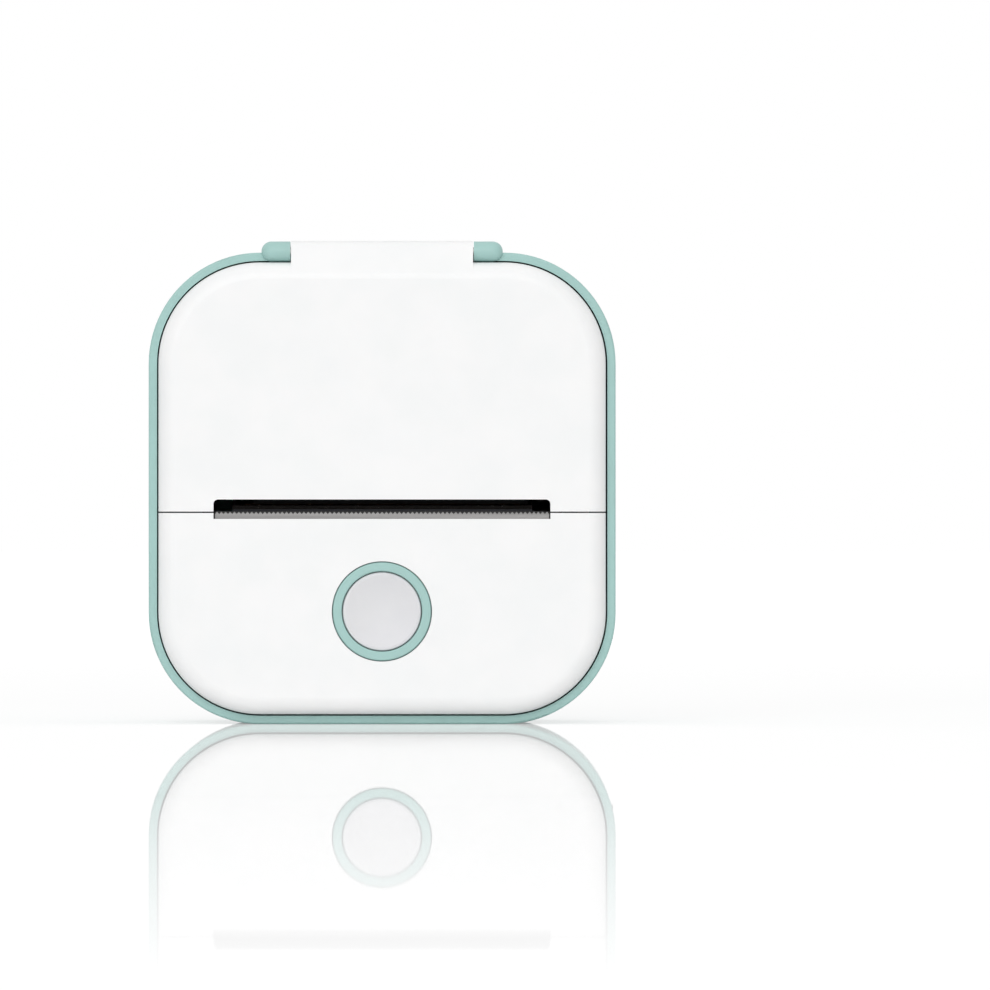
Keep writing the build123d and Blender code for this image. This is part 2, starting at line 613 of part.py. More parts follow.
# Lid frame: the plate behind the lid, with two arms that carry the platen
with BuildPart() as lid_frame:
    with BuildSketch(at_y(SKIN_Y + LID_FRAME_THICKNESS)):
        with Locations((0, LID_FRAME_BOTTOM)):
            Rectangle(
                2 * ARM_OUTER, LID_FRAME_TOP - LID_FRAME_BOTTOM, align=(Align.CENTER, Align.MIN)
            )
    extrude(amount=LID_FRAME_THICKNESS)
    for inner in (-ARM_OUTER, ARM_INNER):
        with BuildSketch(at_x(inner)):
            with BuildLine():
                arm_back = PLATEN_Y
                arm_low = PLATEN_HEIGHT - BUSH_RADIUS - ARM_WALL
                arm_high = PLATEN_HEIGHT + BUSH_RADIUS + ARM_TOP_WALL
                Polyline(
                    (SKIN_Y, LID_FRAME_BOTTOM),
                    (arm_back, arm_low),
                    (arm_back + BUSH_RADIUS + ARM_WALL, PLATEN_HEIGHT),
                    (arm_back, arm_high - ARM_TOP_WALL + ARM_WALL),
                    (SKIN_Y, arm_high),
                    close=True,
                )
            make_face()
            with Locations((PLATEN_Y, PLATEN_HEIGHT)):
                Circle(BUSH_RADIUS + ARM_WALL)
                Circle(BUSH_RADIUS + PIN_SEAT_CLEARANCE, mode=Mode.SUBTRACT)
        extrude(amount=ARM_THICKNESS)
lid_frame.part.label = "lid_frame"
export_step(lid_frame.part, "parts/lid_frame.step")

# Bushes in the arms; their outer halves drop into the mechanism frame's notches
with BuildPart() as platen_bushes:
    for start in (-PLATE_OUTER, ARM_INNER):
        with BuildSketch(at_x(start)):
            with Locations((PLATEN_Y, PLATEN_HEIGHT)):
                Circle(BUSH_RADIUS)
                Circle(SHAFT_RADIUS + RUNNING_CLEARANCE, mode=Mode.SUBTRACT)
        extrude(amount=PLATE_OUTER - ARM_INNER)
platen_bushes.part.label = "platen_bushes"
export_step(platen_bushes.part, "parts/platen_bushes.step")

# Platen: rubber on a steel shaft, with its drive gear on the right
with BuildPart() as platen_shaft:
    with BuildSketch(at_x(-PLATE_OUTER - GEAR_SIDE_GAP)):
        with Locations((PLATEN_Y, PLATEN_HEIGHT)):
            Circle(SHAFT_RADIUS)
    extrude(amount=PLATE_OUTER + GEAR_SIDE_GAP + GEAR_X + GEAR_FACE)
    chamfer(platen_shaft.edges().group_by(Axis.X)[0], SHAFT_RADIUS / 5)
platen_shaft.part.label = "platen_shaft"
export_step(platen_shaft.part, "parts/platen_shaft.step")

with BuildPart() as platen_rubber:
    with BuildSketch(at_x(PLATEN_SHIFT - PLATEN_LENGTH / 2)):
        with Locations((PLATEN_Y, PLATEN_HEIGHT)):
            Circle(PLATEN_RADIUS)
            Circle(SHAFT_RADIUS + PIN_SEAT_CLEARANCE, mode=Mode.SUBTRACT)
    extrude(amount=PLATEN_LENGTH)
platen_rubber.part.label = "platen_rubber"
export_step(platen_rubber.part, "parts/platen_rubber.step")

with BuildPart() as platen_gear:
    with BuildSketch(at_x(GEAR_X)):
        with BuildLine():
            Polyline(*gear_outline(PLATEN_TEETH, (PLATEN_Y, PLATEN_HEIGHT), 0), close=True)
        make_face()
        with Locations((PLATEN_Y, PLATEN_HEIGHT)):
            Circle(SHAFT_RADIUS + PIN_SEAT_CLEARANCE, mode=Mode.SUBTRACT)
    extrude(amount=GEAR_FACE)
platen_gear.part.label = "platen_gear"
export_step(platen_gear.part, "parts/platen_gear.step")

# Idler: a small wheel in the platen gear's plane, and a large one outside it
with BuildPart() as idler_gear:
    small_phase = pi + pi / IDLER_SMALL_TEETH
    with BuildSketch(at_x(GEAR_X)):
        with BuildLine():
            idler_centre = (IDLER_Y, PLATEN_HEIGHT)
            Polyline(*gear_outline(IDLER_SMALL_TEETH, idler_centre, small_phase), close=True)
        make_face()
    extrude(amount=GEAR_FACE + WHEEL_GAP)
    with BuildSketch(at_x(WHEEL_X)):
        with BuildLine():
            Polyline(*gear_outline(IDLER_LARGE_TEETH, idler_centre, MOTOR_ANGLE), close=True)
        make_face()
    extrude(amount=GEAR_FACE)
    with BuildSketch(at_x(GEAR_X)):
        with Locations(idler_centre):
            Circle(IDLER_PIN_RADIUS + RUNNING_CLEARANCE)
    extrude(amount=2 * GEAR_FACE + WHEEL_GAP, mode=Mode.SUBTRACT)
idler_gear.part.label = "idler_gear"
export_step(idler_gear.part, "parts/idler_gear.step")

with BuildPart() as idler_pin:
    with BuildSketch(at_x(PLATE_INNER)):
        with Locations((IDLER_Y, PLATEN_HEIGHT)):
            Circle(IDLER_PIN_RADIUS)
    extrude(amount=WHEEL_X + GEAR_FACE + GEAR_SIDE_GAP - PLATE_INNER)
idler_pin.part.label = "idler_pin"
export_step(idler_pin.part, "parts/idler_pin.step")

# Motor can on the right plate, and its pinion on a thin shaft
with BuildPart() as stepper_motor:
    with BuildSketch(at_x(PLATE_INNER - MOTOR_LENGTH)):
        with Locations((MOTOR_Y, MOTOR_Z)):
            Circle(MOTOR_RADIUS)
    extrude(amount=MOTOR_LENGTH)
    fillet(stepper_motor.edges().group_by(Axis.X)[0], MOTOR_EDGE)
    with BuildSketch(at_x(PLATE_INNER)):
        with Locations((MOTOR_Y, MOTOR_Z)):
            Circle(MOTOR_SHAFT_RADIUS + RUNNING_CLEARANCE)
    extrude(amount=-MOTOR_SHAFT_INSET - SEAT_GAP, mode=Mode.SUBTRACT)
stepper_motor.part.label = "stepper_motor"
export_step(stepper_motor.part, "parts/stepper_motor.step")

with BuildPart() as motor_shaft:
    with BuildSketch(at_x(PLATE_INNER - MOTOR_SHAFT_INSET)):
        with Locations((MOTOR_Y, MOTOR_Z)):
            Circle(MOTOR_SHAFT_RADIUS)
    extrude(amount=WHEEL_X + GEAR_FACE - PLATE_INNER + MOTOR_SHAFT_INSET)
motor_shaft.part.label = "motor_shaft"
export_step(motor_shaft.part, "parts/motor_shaft.step")

with BuildPart() as motor_pinion:
    pinion_phase = MOTOR_ANGLE + pi + pi / MOTOR_TEETH
    with BuildSketch(at_x(WHEEL_X)):
        with BuildLine():
            Polyline(*gear_outline(MOTOR_TEETH, (MOTOR_Y, MOTOR_Z), pinion_phase), close=True)
        make_face()
        with Locations((MOTOR_Y, MOTOR_Z)):
            Circle(MOTOR_SHAFT_RADIUS + PIN_SEAT_CLEARANCE, mode=Mode.SUBTRACT)
    extrude(amount=GEAR_FACE)
motor_pinion.part.label = "motor_pinion"
export_step(motor_pinion.part, "parts/motor_pinion.step")

# Mechanism frame: two side plates, a floor, a front wall, and ears for its screws
with BuildPart() as mechanism_frame:
    for inner in (-PLATE_OUTER, PLATE_INNER):
        with BuildSketch(at_x(inner)):
            with Locations((FRAME_Y, FRAME_FLOOR)):
                Rectangle(FRAME_DEPTH, FRAME_TOP - FRAME_FLOOR, align=(Align.MIN, Align.MIN))
        extrude(amount=PLATE_THICKNESS)
    with BuildSketch(at_x(-PLATE_INNER)):
        with Locations((FRAME_Y, FRAME_FLOOR)):
            floor_depth = HEAD_PIN_Y - FRAME_Y
            Rectangle(floor_depth, FRAME_WALL, align=(Align.MIN, Align.MIN))
            Rectangle(FRAME_WALL, FRAME_LIP_HEIGHT - FRAME_FLOOR, align=(Align.MIN, Align.MIN))
    extrude(amount=2 * PLATE_INNER)
    with BuildSketch(at_y(FRAME_Y + FRAME_WALL)):
        for side in (-1, 1):
            with Locations((side * (EAR_X + PLATE_INNER) / 2, EAR_HEIGHT)):
                Rectangle(EAR_X - PLATE_INNER, 2 * EAR_RADIUS)
            with Locations((side * EAR_X, EAR_HEIGHT)):
                Circle(EAR_RADIUS)
                Circle(SMALL_SCREW_RADIUS + THROUGH_CLEARANCE, mode=Mode.SUBTRACT)
    extrude(amount=FRAME_WALL)
    # Notches that the bushes leave to the front when the lid opens
    with BuildSketch(at_x(-PLATE_OUTER)):
        notch_radius = BUSH_RADIUS + NOTCH_CLEARANCE
        with Locations((PLATEN_Y, PLATEN_HEIGHT)):
            Circle(notch_radius)
            Rectangle(CASE_DEPTH, 2 * notch_radius, align=(Align.MAX, Align.CENTER))
    extrude(amount=2 * PLATE_OUTER, mode=Mode.SUBTRACT)
    with BuildSketch(at_x(-PLATE_INNER - PLATE_THICKNESS / 2)):
        with Locations((HEAD_PIN_Y, HEAD_PIVOT_HEIGHT)):
            Circle(HEAD_PIN_RADIUS + PIN_SEAT_CLEARANCE)
    extrude(amount=2 * PLATE_INNER + PLATE_THICKNESS, mode=Mode.SUBTRACT)
    with BuildSketch(at_x(PLATE_INNER)):
        with Locations((IDLER_Y, PLATEN_HEIGHT)):
            Circle(IDLER_PIN_RADIUS + PIN_SEAT_CLEARANCE)
        with Locations((MOTOR_Y, MOTOR_Z)):
            Circle(MOTOR_SHAFT_RADIUS + NOTCH_CLEARANCE)
    extrude(amount=PLATE_THICKNESS, mode=Mode.SUBTRACT)
mechanism_frame.part.label = "mechanism_frame"
export_step(mechanism_frame.part, "parts/mechanism_frame.step")

# Print head: a ceramic strip on a heatsink that rocks on its pin against two springs
with BuildPart() as print_head:
    with BuildSketch(at_x(-HEAD_WIDTH / 2)):
        with BuildLine():
            Polyline(
                tilted(-HEAD_LEAD, HEAD_GAP),
                tilted(HEAD_LENGTH - HEAD_LEAD, HEAD_GAP),
                tilted(HEAD_LENGTH - HEAD_LEAD, HEAD_GAP + CERAMIC_THICKNESS),
                tilted(-HEAD_LEAD, HEAD_GAP + CERAMIC_THICKNESS),
                close=True,
            )
        make_face()
    extrude(amount=HEAD_WIDTH)
print_head.part.label = "print_head"
export_step(print_head.part, "parts/print_head.step")

with BuildPart() as head_heatsink:
    with BuildSketch(at_x(-HEAD_WIDTH / 2)):
        with BuildLine():
            sink_front = tilted(-HEAD_LEAD, HEAD_GAP + CERAMIC_THICKNESS)
            sink_back = tilted(HEAD_LENGTH - HEAD_LEAD, HEAD_GAP + CERAMIC_THICKNESS)
            Polyline(
                sink_front,
                sink_back,
                (sink_back[0], HEATSINK_BOTTOM),
                (sink_front[0], HEATSINK_BOTTOM),
                close=True,
            )
        make_face()
        with Locations((HEAD_PIN_Y, HEAD_PIVOT_HEIGHT)):
            Circle(HEAD_PIN_RADIUS + RUNNING_CLEARANCE, mode=Mode.SUBTRACT)
    extrude(amount=HEAD_WIDTH)
head_heatsink.part.label = "head_heatsink"
export_step(head_heatsink.part, "parts/head_heatsink.step")

with BuildPart() as head_pin:
    with BuildSketch(at_x(-PLATE_INNER - PLATE_THICKNESS / 2)):
        with Locations((HEAD_PIN_Y, HEAD_PIVOT_HEIGHT)):
            Circle(HEAD_PIN_RADIUS)
    extrude(amount=2 * PLATE_INNER + PLATE_THICKNESS)
head_pin.part.label = "head_pin"
export_step(head_pin.part, "parts/head_pin.step")

with BuildPart() as head_springs:
    spring_bottom = FRAME_FLOOR + FRAME_WALL
    with BuildSketch(Plane.XY.offset(spring_bottom + SEAT_GAP)):
        spring_y = FRONT_Y + SPRING_Y_BACK
        with Locations((-SPRING_X, spring_y), (SPRING_X, spring_y)):
            Circle(SPRING_RADIUS)
            Circle(SPRING_RADIUS - SPRING_WIRE, mode=Mode.SUBTRACT)
    extrude(amount=HEATSINK_BOTTOM - spring_bottom - 2 * SEAT_GAP)
head_springs.part.label = "head_springs"
export_step(head_springs.part, "parts/head_springs.step")

# Paper bay: a trough for the paper roll, open to the front under the lid
with BuildPart() as paper_bay:
    for start, width in (
        (-BAY_HALF - BAY_SIDE_WALL, BAY_SIDE_WALL),
        (-BAY_HALF, BAY_WIDTH),
        (BAY_HALF, BAY_SIDE_WALL),
    ):
        is_trough = width == BAY_WIDTH
        with BuildSketch(at_x(start)):
            with Locations((BAY_Y, BAY_HEIGHT)):
                Circle(BAY_OUTER)
            with Locations((BAY_Y + BAY_OUTER, BAY_HEIGHT)):
                Rectangle(
                    BAY_Y + BAY_OUTER - BAY_SIDE_Y,
                    BAY_CEILING + BAY_WALL - BAY_HEIGHT,
                    align=(Align.MAX, Align.MIN),
                )
            if is_trough:
                with Locations((BAY_Y, BAY_HEIGHT)):
                    Circle(BAY_RADIUS, mode=Mode.SUBTRACT)
                with Locations((BAY_Y + BAY_RADIUS, BAY_HEIGHT)):
                    Rectangle(
                        CASE_DEPTH,
                        BAY_CEILING - BAY_HEIGHT,
                        align=(Align.MAX, Align.MIN),
                        mode=Mode.SUBTRACT,
                    )
            front_limit = BAY_LIP_Y if is_trough else BAY_SIDE_Y
            cut_top = BAY_CEILING if is_trough else BAY_CEILING + 2 * BAY_WALL
            with Locations((front_limit, cut_top)):
                Rectangle(FAR, FAR, align=(Align.MAX, Align.MAX), mode=Mode.SUBTRACT)
            with Locations((BAY_LIP_Y, BAY_SIDE_BOTTOM)):
                Rectangle(FAR, FAR, align=(Align.MAX, Align.MAX), mode=Mode.SUBTRACT)
        extrude(amount=width)
    with BuildSketch(at_y(BAY_EAR_Y)):
        for side in (-1, 1):
            with Locations((side * (BAY_EAR_X + BAY_HALF) / 2, BAY_EAR_HEIGHT)):
                Rectangle(BAY_EAR_X - BAY_HALF, 2 * BAY_EAR_RADIUS)
            with Locations((side * BAY_EAR_X, BAY_EAR_HEIGHT)):
                Circle(BAY_EAR_RADIUS)
                Circle(SCREW_RADIUS + THROUGH_CLEARANCE, mode=Mode.SUBTRACT)
    extrude(amount=BAY_WALL)
    with BuildSketch(at_x(-BAY_HALF)):
        with Locations((BAY_Y, BAY_HEIGHT)):
            Circle(BAY_RADIUS)
    extrude(amount=BAY_WIDTH, mode=Mode.SUBTRACT)
paper_bay.part.label = "paper_bay"
export_step(paper_bay.part, "parts/paper_bay.step")

with BuildPart() as paper_sensor:
    with BuildSketch(Plane.XY.offset(SENSOR_TOP)):
        with Locations((0, SENSOR_Y)):
            Rectangle(SENSOR_SIZE[0], SENSOR_SIZE[1])
    extrude(amount=-SENSOR_SIZE[2])
paper_sensor.part.label = "paper_sensor"
export_step(paper_sensor.part, "parts/paper_sensor.step")

# Button: a fixed ring, a dished cap, and the switch behind it
with BuildPart() as button_bezel:
    with BuildSketch(at_y(SKIN_Y)):
        with Locations((0, BUTTON_HEIGHT)):
            Circle(BEZEL_RADIUS)
    extrude(amount=FACE_WALL)
    with BuildSketch(at_y(BEZEL_BACK_Y)):
        with Locations((0, BUTTON_HEIGHT)):
            Circle(BEZEL_RADIUS + BEZEL_FLANGE)
    extrude(amount=BEZEL_FLANGE_THICKNESS)
    with BuildSketch(at_y(BEZEL_BACK_Y)):
        with Locations((0, BUTTON_HEIGHT)):
            Circle(BEZEL_INNER_RADIUS)
    extrude(amount=FAR, mode=Mode.SUBTRACT)
    fillet(button_bezel.edges().group_by(Axis.Y)[0], BUTTON_EDGE_ROUND)
button_bezel.part.label = "button_bezel"
export_step(button_bezel.part, "parts/button_bezel.step")

with BuildPart() as power_button:
    cap_radius = BEZEL_INNER_RADIUS - BUTTON_GAP
    with BuildSketch(at_y(CAP_FLANGE_Y)):
        with Locations((0, BUTTON_HEIGHT)):
            Circle(cap_radius)
    extrude(amount=CAP_FLANGE_Y - CAP_FRONT_Y)
    with BuildSketch(at_y(CAP_BACK_Y)):
        with Locations((0, BUTTON_HEIGHT)):
            Circle(BEZEL_INNER_RADIUS + BEZEL_FLANGE / 2)
    extrude(amount=BUTTON_FLANGE_THICKNESS)
    fillet(power_button.edges().group_by(Axis.Y)[0], BUTTON_EDGE_ROUND)
    # The finger dish is cut by a large sphere in front of the cap
    dish_half = cap_radius - 2 * BUTTON_EDGE_ROUND
    dish_sphere = (dish_half**2 + BUTTON_DISH_DEPTH**2) / (2 * BUTTON_DISH_DEPTH)
    with Locations((0, CAP_FRONT_Y + BUTTON_DISH_DEPTH - dish_sphere, BUTTON_HEIGHT)):
        Sphere(dish_sphere, mode=Mode.SUBTRACT)
power_button.part.label = "power_button"
export_step(power_button.part, "parts/power_button.step")

with BuildPart() as switch_plunger:
    with BuildSketch(at_y(CAP_BACK_Y)):
        with Locations((0, BUTTON_HEIGHT)):
            Circle(PLUNGER_RADIUS)
    extrude(amount=-PLUNGER_LENGTH)
switch_plunger.part.label = "switch_plunger"
export_step(switch_plunger.part, "parts/switch_plunger.step")

with BuildPart() as button_switch:
    with BuildSketch(at_y(SWITCH_BACK_Y)):
        with Locations((0, BUTTON_HEIGHT)):
            Rectangle(SWITCH_SIZE, SWITCH_SIZE)
    extrude(amount=SWITCH_HEIGHT)
    with BuildSketch(at_y(SWITCH_FRONT_Y + SWITCH_BORE_DEPTH)):
        with Locations((0, BUTTON_HEIGHT)):
            Circle(PLUNGER_RADIUS + 2 * RUNNING_CLEARANCE)
    extrude(amount=SWITCH_BORE_DEPTH, mode=Mode.SUBTRACT)
button_switch.part.label = "button_switch"
export_step(button_switch.part, "parts/button_switch.step")

with BuildPart() as button_board:
    with BuildSketch(at_y(SWITCH_BACK_Y + BOARD_THICKNESS)):
        with Locations((0, BUTTON_HEIGHT)):
            Rectangle(BUTTON_BOARD_WIDTH, BUTTON_BOARD_HEIGHT)
        with Locations((-BUTTON_POST_X, BUTTON_HEIGHT), (BUTTON_POST_X, BUTTON_HEIGHT)):
            Circle(SMALL_SCREW_RADIUS + THROUGH_CLEARANCE, mode=Mode.SUBTRACT)
    extrude(amount=BOARD_THICKNESS)
button_board.part.label = "button_board"
export_step(button_board.part, "parts/button_board.step")

# Main board with a tab that carries the charging socket
with BuildPart() as main_board:
    with BuildSketch(at_y(BOARD_BACK_Y)):
        with Locations((0, BOARD_BOTTOM)):
            Rectangle(
                2 * BOARD_HALF_WIDTH, BOARD_TOP - BOARD_BOTTOM, align=(Align.CENTER, Align.MIN)
            )
        with Locations((0, SOCKET_HEIGHT)):
            Rectangle(TAB_END, SOCKET_WIDTH - 2 * TAB_MARGIN, align=(Align.MIN, Align.CENTER))
        with Locations(*BOARD_POSTS):
            Circle(SMALL_SCREW_RADIUS + THROUGH_CLEARANCE, mode=Mode.SUBTRACT)
    extrude(amount=BOARD_THICKNESS)
main_board.part.label = "main_board"
export_step(main_board.part, "parts/main_board.step")

with BuildPart() as board_chips:
    for place, sides, thickness in CHIPS:
        with BuildSketch(at_y(BOARD_Y)):
            with Locations(place):
                Rectangle(*sides)
        extrude(amount=thickness)
board_chips.part.label = "board_chips"
export_step(board_chips.part, "parts/board_chips.step")

with BuildPart() as radio_shield:
    with BuildSketch(at_y(BOARD_Y)):
        with Locations(RADIO_PLACE):
            Rectangle(*RADIO_SIZE)
    extrude(amount=RADIO_THICKNESS)
radio_shield.part.label = "radio_shield"
export_step(radio_shield.part, "parts/radio_shield.step")

with BuildPart() as ribbon_socket:
    with BuildSketch(at_y(BOARD_Y)):
        with Locations((0, RIBBON_HEIGHT)):
            Rectangle(RIBBON_SOCKET_SIZE[0], RIBBON_SOCKET_SIZE[2])
    extrude(amount=RIBBON_SOCKET_SIZE[1])
ribbon_socket.part.label = "ribbon_socket"
export_step(ribbon_socket.part, "parts/ribbon_socket.step")

with BuildPart() as head_ribbon:
    with BuildSketch(at_x(-RIBBON_WIDTH / 2)):
        with BuildLine():
            FilletPolyline(
                (RIBBON_Y, RIBBON_TOP),
                (RIBBON_Y, RIBBON_HEIGHT),
                (BOARD_Y - RIBBON_SOCKET_SIZE[1], RIBBON_HEIGHT),
                radius=RIBBON_BEND,
            )
        trace(line_width=RIBBON_THICKNESS)
    extrude(amount=RIBBON_WIDTH)
head_ribbon.part.label = "head_ribbon"
export_step(head_ribbon.part, "parts/head_ribbon.step")

with BuildPart() as usb_socket:
    socket_front = CASE_WIDTH / 2 - SOCKET_CLEARANCE
    with BuildSketch(at_x(socket_front)):
        with Locations((SOCKET_Y, SOCKET_HEIGHT)):
            SlotOverall(SOCKET_WIDTH, SOCKET_THICKNESS, rotation=90)
    extrude(amount=-SOCKET_DEPTH)
    with BuildSketch(at_x(socket_front)):
        with Locations((SOCKET_Y, SOCKET_HEIGHT)):
            SlotOverall(SOCKET_MOUTH[0], SOCKET_MOUTH[1], rotation=90)
            Rectangle(SOCKET_TONGUE[1], SOCKET_TONGUE[0], mode=Mode.SUBTRACT)
    extrude(amount=-(SOCKET_DEPTH - SOCKET_FLOOR), mode=Mode.SUBTRACT)
    with BuildSketch(at_x(socket_front)):
        with Locations((SOCKET_Y, SOCKET_HEIGHT)):
            Rectangle(SOCKET_MOUTH[1] / 2, SOCKET_TONGUE[0])
    extrude(amount=-SOCKET_FLOOR, mode=Mode.SUBTRACT)
usb_socket.part.label = "usb_socket"
export_step(usb_socket.part, "parts/usb_socket.step")

# Battery on the back wall, with its two leads and their plug
with BuildPart() as battery_cell:
    with BuildSketch(at_y(BACK_INNER_Y)):
        with Locations((0, BATTERY_BOTTOM)):
            Rectangle(2 * BATTERY_HALF_WIDTH, BATTERY_HEIGHT, align=(Align.CENTER, Align.MIN))
    extrude(amount=BATTERY_THICKNESS)
    fillet(battery_cell.edges().filter_by(Axis.Z), BATTERY_EDGE)
battery_cell.part.label = "battery_cell"
export_step(battery_cell.part, "parts/battery_cell.step")

with BuildPart() as battery_leads:
    for height in LEAD_HEIGHTS:
        with BuildLine() as lead_path:
            FilletPolyline(
                (-BATTERY_HALF_WIDTH, LEAD_Y, height),
                (PLUG_X, LEAD_Y, height),
                (PLUG_X, BOARD_BACK_Y + PLUG_SIZE[1], height),
                radius=LEAD_BEND,
            )
        with BuildSketch(Plane((-BATTERY_HALF_WIDTH, LEAD_Y, height), z_dir=(-1, 0, 0))):
            Circle(LEAD_RADIUS)
        sweep(path=lead_path.wires()[0])
battery_leads.part.label = "battery_leads"
export_step(battery_leads.part, "parts/battery_leads.step")

with BuildPart() as battery_plug:
    with BuildSketch(at_y(BOARD_BACK_Y)):
        with Locations((PLUG_X, sum(LEAD_HEIGHTS) / 2)):
            Rectangle(PLUG_SIZE[0], PLUG_SIZE[2])
    extrude(amount=-PLUG_SIZE[1])
battery_plug.part.label = "battery_plug"
export_step(battery_plug.part, "parts/battery_plug.step")

# Screws: through the back into the panel, through the bay's ears, and the small ones
case_screws = make_screws(
    CASE_POSTS,
    POST_JOINT_Y + POST_FLOOR,
    SCREW_RADIUS,
    CASE_SCREW_LENGTH,
    SCREW_HEAD_RADIUS,
    SCREW_HEAD_HEIGHT,
    -1,
)
case_screws.part.label = "case_screws"
export_step(case_screws.part, "parts/case_screws.step")

bay_screws = make_screws(
    ((-BAY_EAR_X, BAY_EAR_HEIGHT), (BAY_EAR_X, BAY_EAR_HEIGHT)),
    BAY_EAR_Y - BAY_WALL,
    SCREW_RADIUS,
    CASE_SCREW_LENGTH,
    SCREW_HEAD_RADIUS,
    SCREW_HEAD_HEIGHT,
    1,
)
bay_screws.part.label = "bay_screws"
export_step(bay_screws.part, "parts/bay_screws.step")

board_screws = make_screws(
    BOARD_POSTS,
    BOARD_Y,
    SMALL_SCREW_RADIUS,
    SMALL_SCREW_LENGTH,
    SMALL_HEAD_RADIUS,
    SMALL_HEAD_HEIGHT,
    1,
)
board_screws.part.label = "board_screws"
export_step(board_screws.part, "parts/board_screws.step")

button_board_screws = make_screws(
    ((-BUTTON_POST_X, BUTTON_HEIGHT), (BUTTON_POST_X, BUTTON_HEIGHT)),
    SWITCH_BACK_Y + BOARD_THICKNESS,
    SMALL_SCREW_RADIUS,
    SMALL_SCREW_LENGTH,
    SMALL_HEAD_RADIUS,
    SMALL_HEAD_HEIGHT,
    -1,
)
button_board_screws.part.label = "button_board_screws"
export_step(button_board_screws.part, "parts/button_board_screws.step")

frame_screws = make_screws(
    ((-EAR_X, EAR_HEIGHT), (EAR_X, EAR_HEIGHT)),
    FRAME_Y + FRAME_WALL,
    SMALL_SCREW_RADIUS,
    SMALL_SCREW_LENGTH,
    SMALL_HEAD_RADIUS,
    SMALL_HEAD_HEIGHT,
    -1,
)
frame_screws.part.label = "frame_screws"
export_step(frame_screws.part, "parts/frame_screws.step")
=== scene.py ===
"""Pocket printer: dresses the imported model, adds its fine pieces and sets up the studio."""

import json
import logging
from dataclasses import dataclass
from enum import Enum
from math import cos, pi, radians, sin, tau

import bmesh
import bpy
from mathutils import Matrix, Vector


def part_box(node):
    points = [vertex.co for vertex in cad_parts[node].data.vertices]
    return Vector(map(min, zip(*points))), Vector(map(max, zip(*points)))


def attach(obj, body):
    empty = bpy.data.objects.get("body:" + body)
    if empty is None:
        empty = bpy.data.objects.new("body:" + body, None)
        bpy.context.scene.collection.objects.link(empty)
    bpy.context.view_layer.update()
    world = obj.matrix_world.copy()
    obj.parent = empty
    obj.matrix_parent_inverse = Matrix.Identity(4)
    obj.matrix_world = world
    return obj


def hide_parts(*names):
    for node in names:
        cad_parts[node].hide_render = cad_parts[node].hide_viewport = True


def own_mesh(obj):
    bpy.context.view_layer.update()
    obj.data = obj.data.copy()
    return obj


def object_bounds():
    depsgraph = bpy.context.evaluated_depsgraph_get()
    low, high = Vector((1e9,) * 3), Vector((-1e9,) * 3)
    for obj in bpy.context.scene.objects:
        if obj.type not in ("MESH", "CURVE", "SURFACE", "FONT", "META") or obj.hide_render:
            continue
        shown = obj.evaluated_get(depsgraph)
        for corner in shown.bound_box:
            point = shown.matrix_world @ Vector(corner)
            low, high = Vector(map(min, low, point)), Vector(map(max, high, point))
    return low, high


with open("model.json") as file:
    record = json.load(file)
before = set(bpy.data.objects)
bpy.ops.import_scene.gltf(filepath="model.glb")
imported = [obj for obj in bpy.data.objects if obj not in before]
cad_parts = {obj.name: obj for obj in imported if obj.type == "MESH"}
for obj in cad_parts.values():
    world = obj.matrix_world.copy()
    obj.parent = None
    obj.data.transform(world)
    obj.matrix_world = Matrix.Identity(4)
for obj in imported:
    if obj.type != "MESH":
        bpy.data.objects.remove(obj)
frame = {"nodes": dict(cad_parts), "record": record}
CAD_LOW, CAD_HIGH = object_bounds()

MM = 0.001
# Vertices nearer than this many metres are one.
JOIN_DISTANCE = 1e-7
# Edges sharper than the first angle are rounded, and than the second are shaded as edges.
ROUNDED_ANGLE = radians(30)
SHADED_ANGLE = radians(35)
# The parts of a noise's range that turn into a full change of colour and of roughness.
PATCH_SPAN = (0.35, 0.65)
GLOSS_SPAN = (0.3, 0.7)
# The part of a wave's range over which a track's edge runs.
TRACK_SPAN = (0.45, 0.55)
# A wave texture of scale 1 goes through this many radians to the metre.
WAVE_FACTOR = 20
LOG = logging.getLogger("pocket_printer")

Colour = tuple[float, float, float, float]


def linear(hex_colour: str) -> Colour:
    """Turns an sRGB hex colour into linear red, green, blue and alpha.

    Args:
        hex_colour: Six hex digits after a number sign.

    Returns:
        The linear colour with an alpha of 1.
    """
    parts = [int(hex_colour[i : i + 2], 16) / 255 for i in (1, 3, 5)]
    red, green, blue = (
        p / 12.92 if p <= 0.04045 else ((p + 0.055) / 1.055) ** 2.4 for p in parts
    )
    return red, green, blue, 1.0


def add_node(
    tree: bpy.types.NodeTree,
    kind: str,
    settings: dict[str, object] | None = None,
    inputs: dict[str | int, object] | None = None,
) -> bpy.types.Node:
    """Adds a node with its settings, constant values and links.

    Args:
        tree: The node tree that gets the node.
        kind: The node's type name.
        settings: Properties of the node.
        inputs: For each input socket, a constant or the output socket to link from.

    Returns:
        The new node.
    """
    node = tree.nodes.new(kind)
    for key, value in (settings or {}).items():
        setattr(node, key, value)
    for key, value in (inputs or {}).items():
        if isinstance(value, bpy.types.NodeSocket):
            tree.links.new(value, node.inputs[key])
        else:
            node.inputs[key].default_value = value
    return node


class Axis(Enum):
    """The direction that a tool has left its marks in, or a pattern runs in."""

    X = 0
    Y = 1

    def stretch(self, amount: float) -> tuple[float, float, float]:
        """Gives the mapping scale that draws a pattern out along this axis by an amount."""
        scale = [1.0, 1.0, 1.0]
        scale[self.value] = 1 / amount
        return scale[0], scale[1], scale[2]


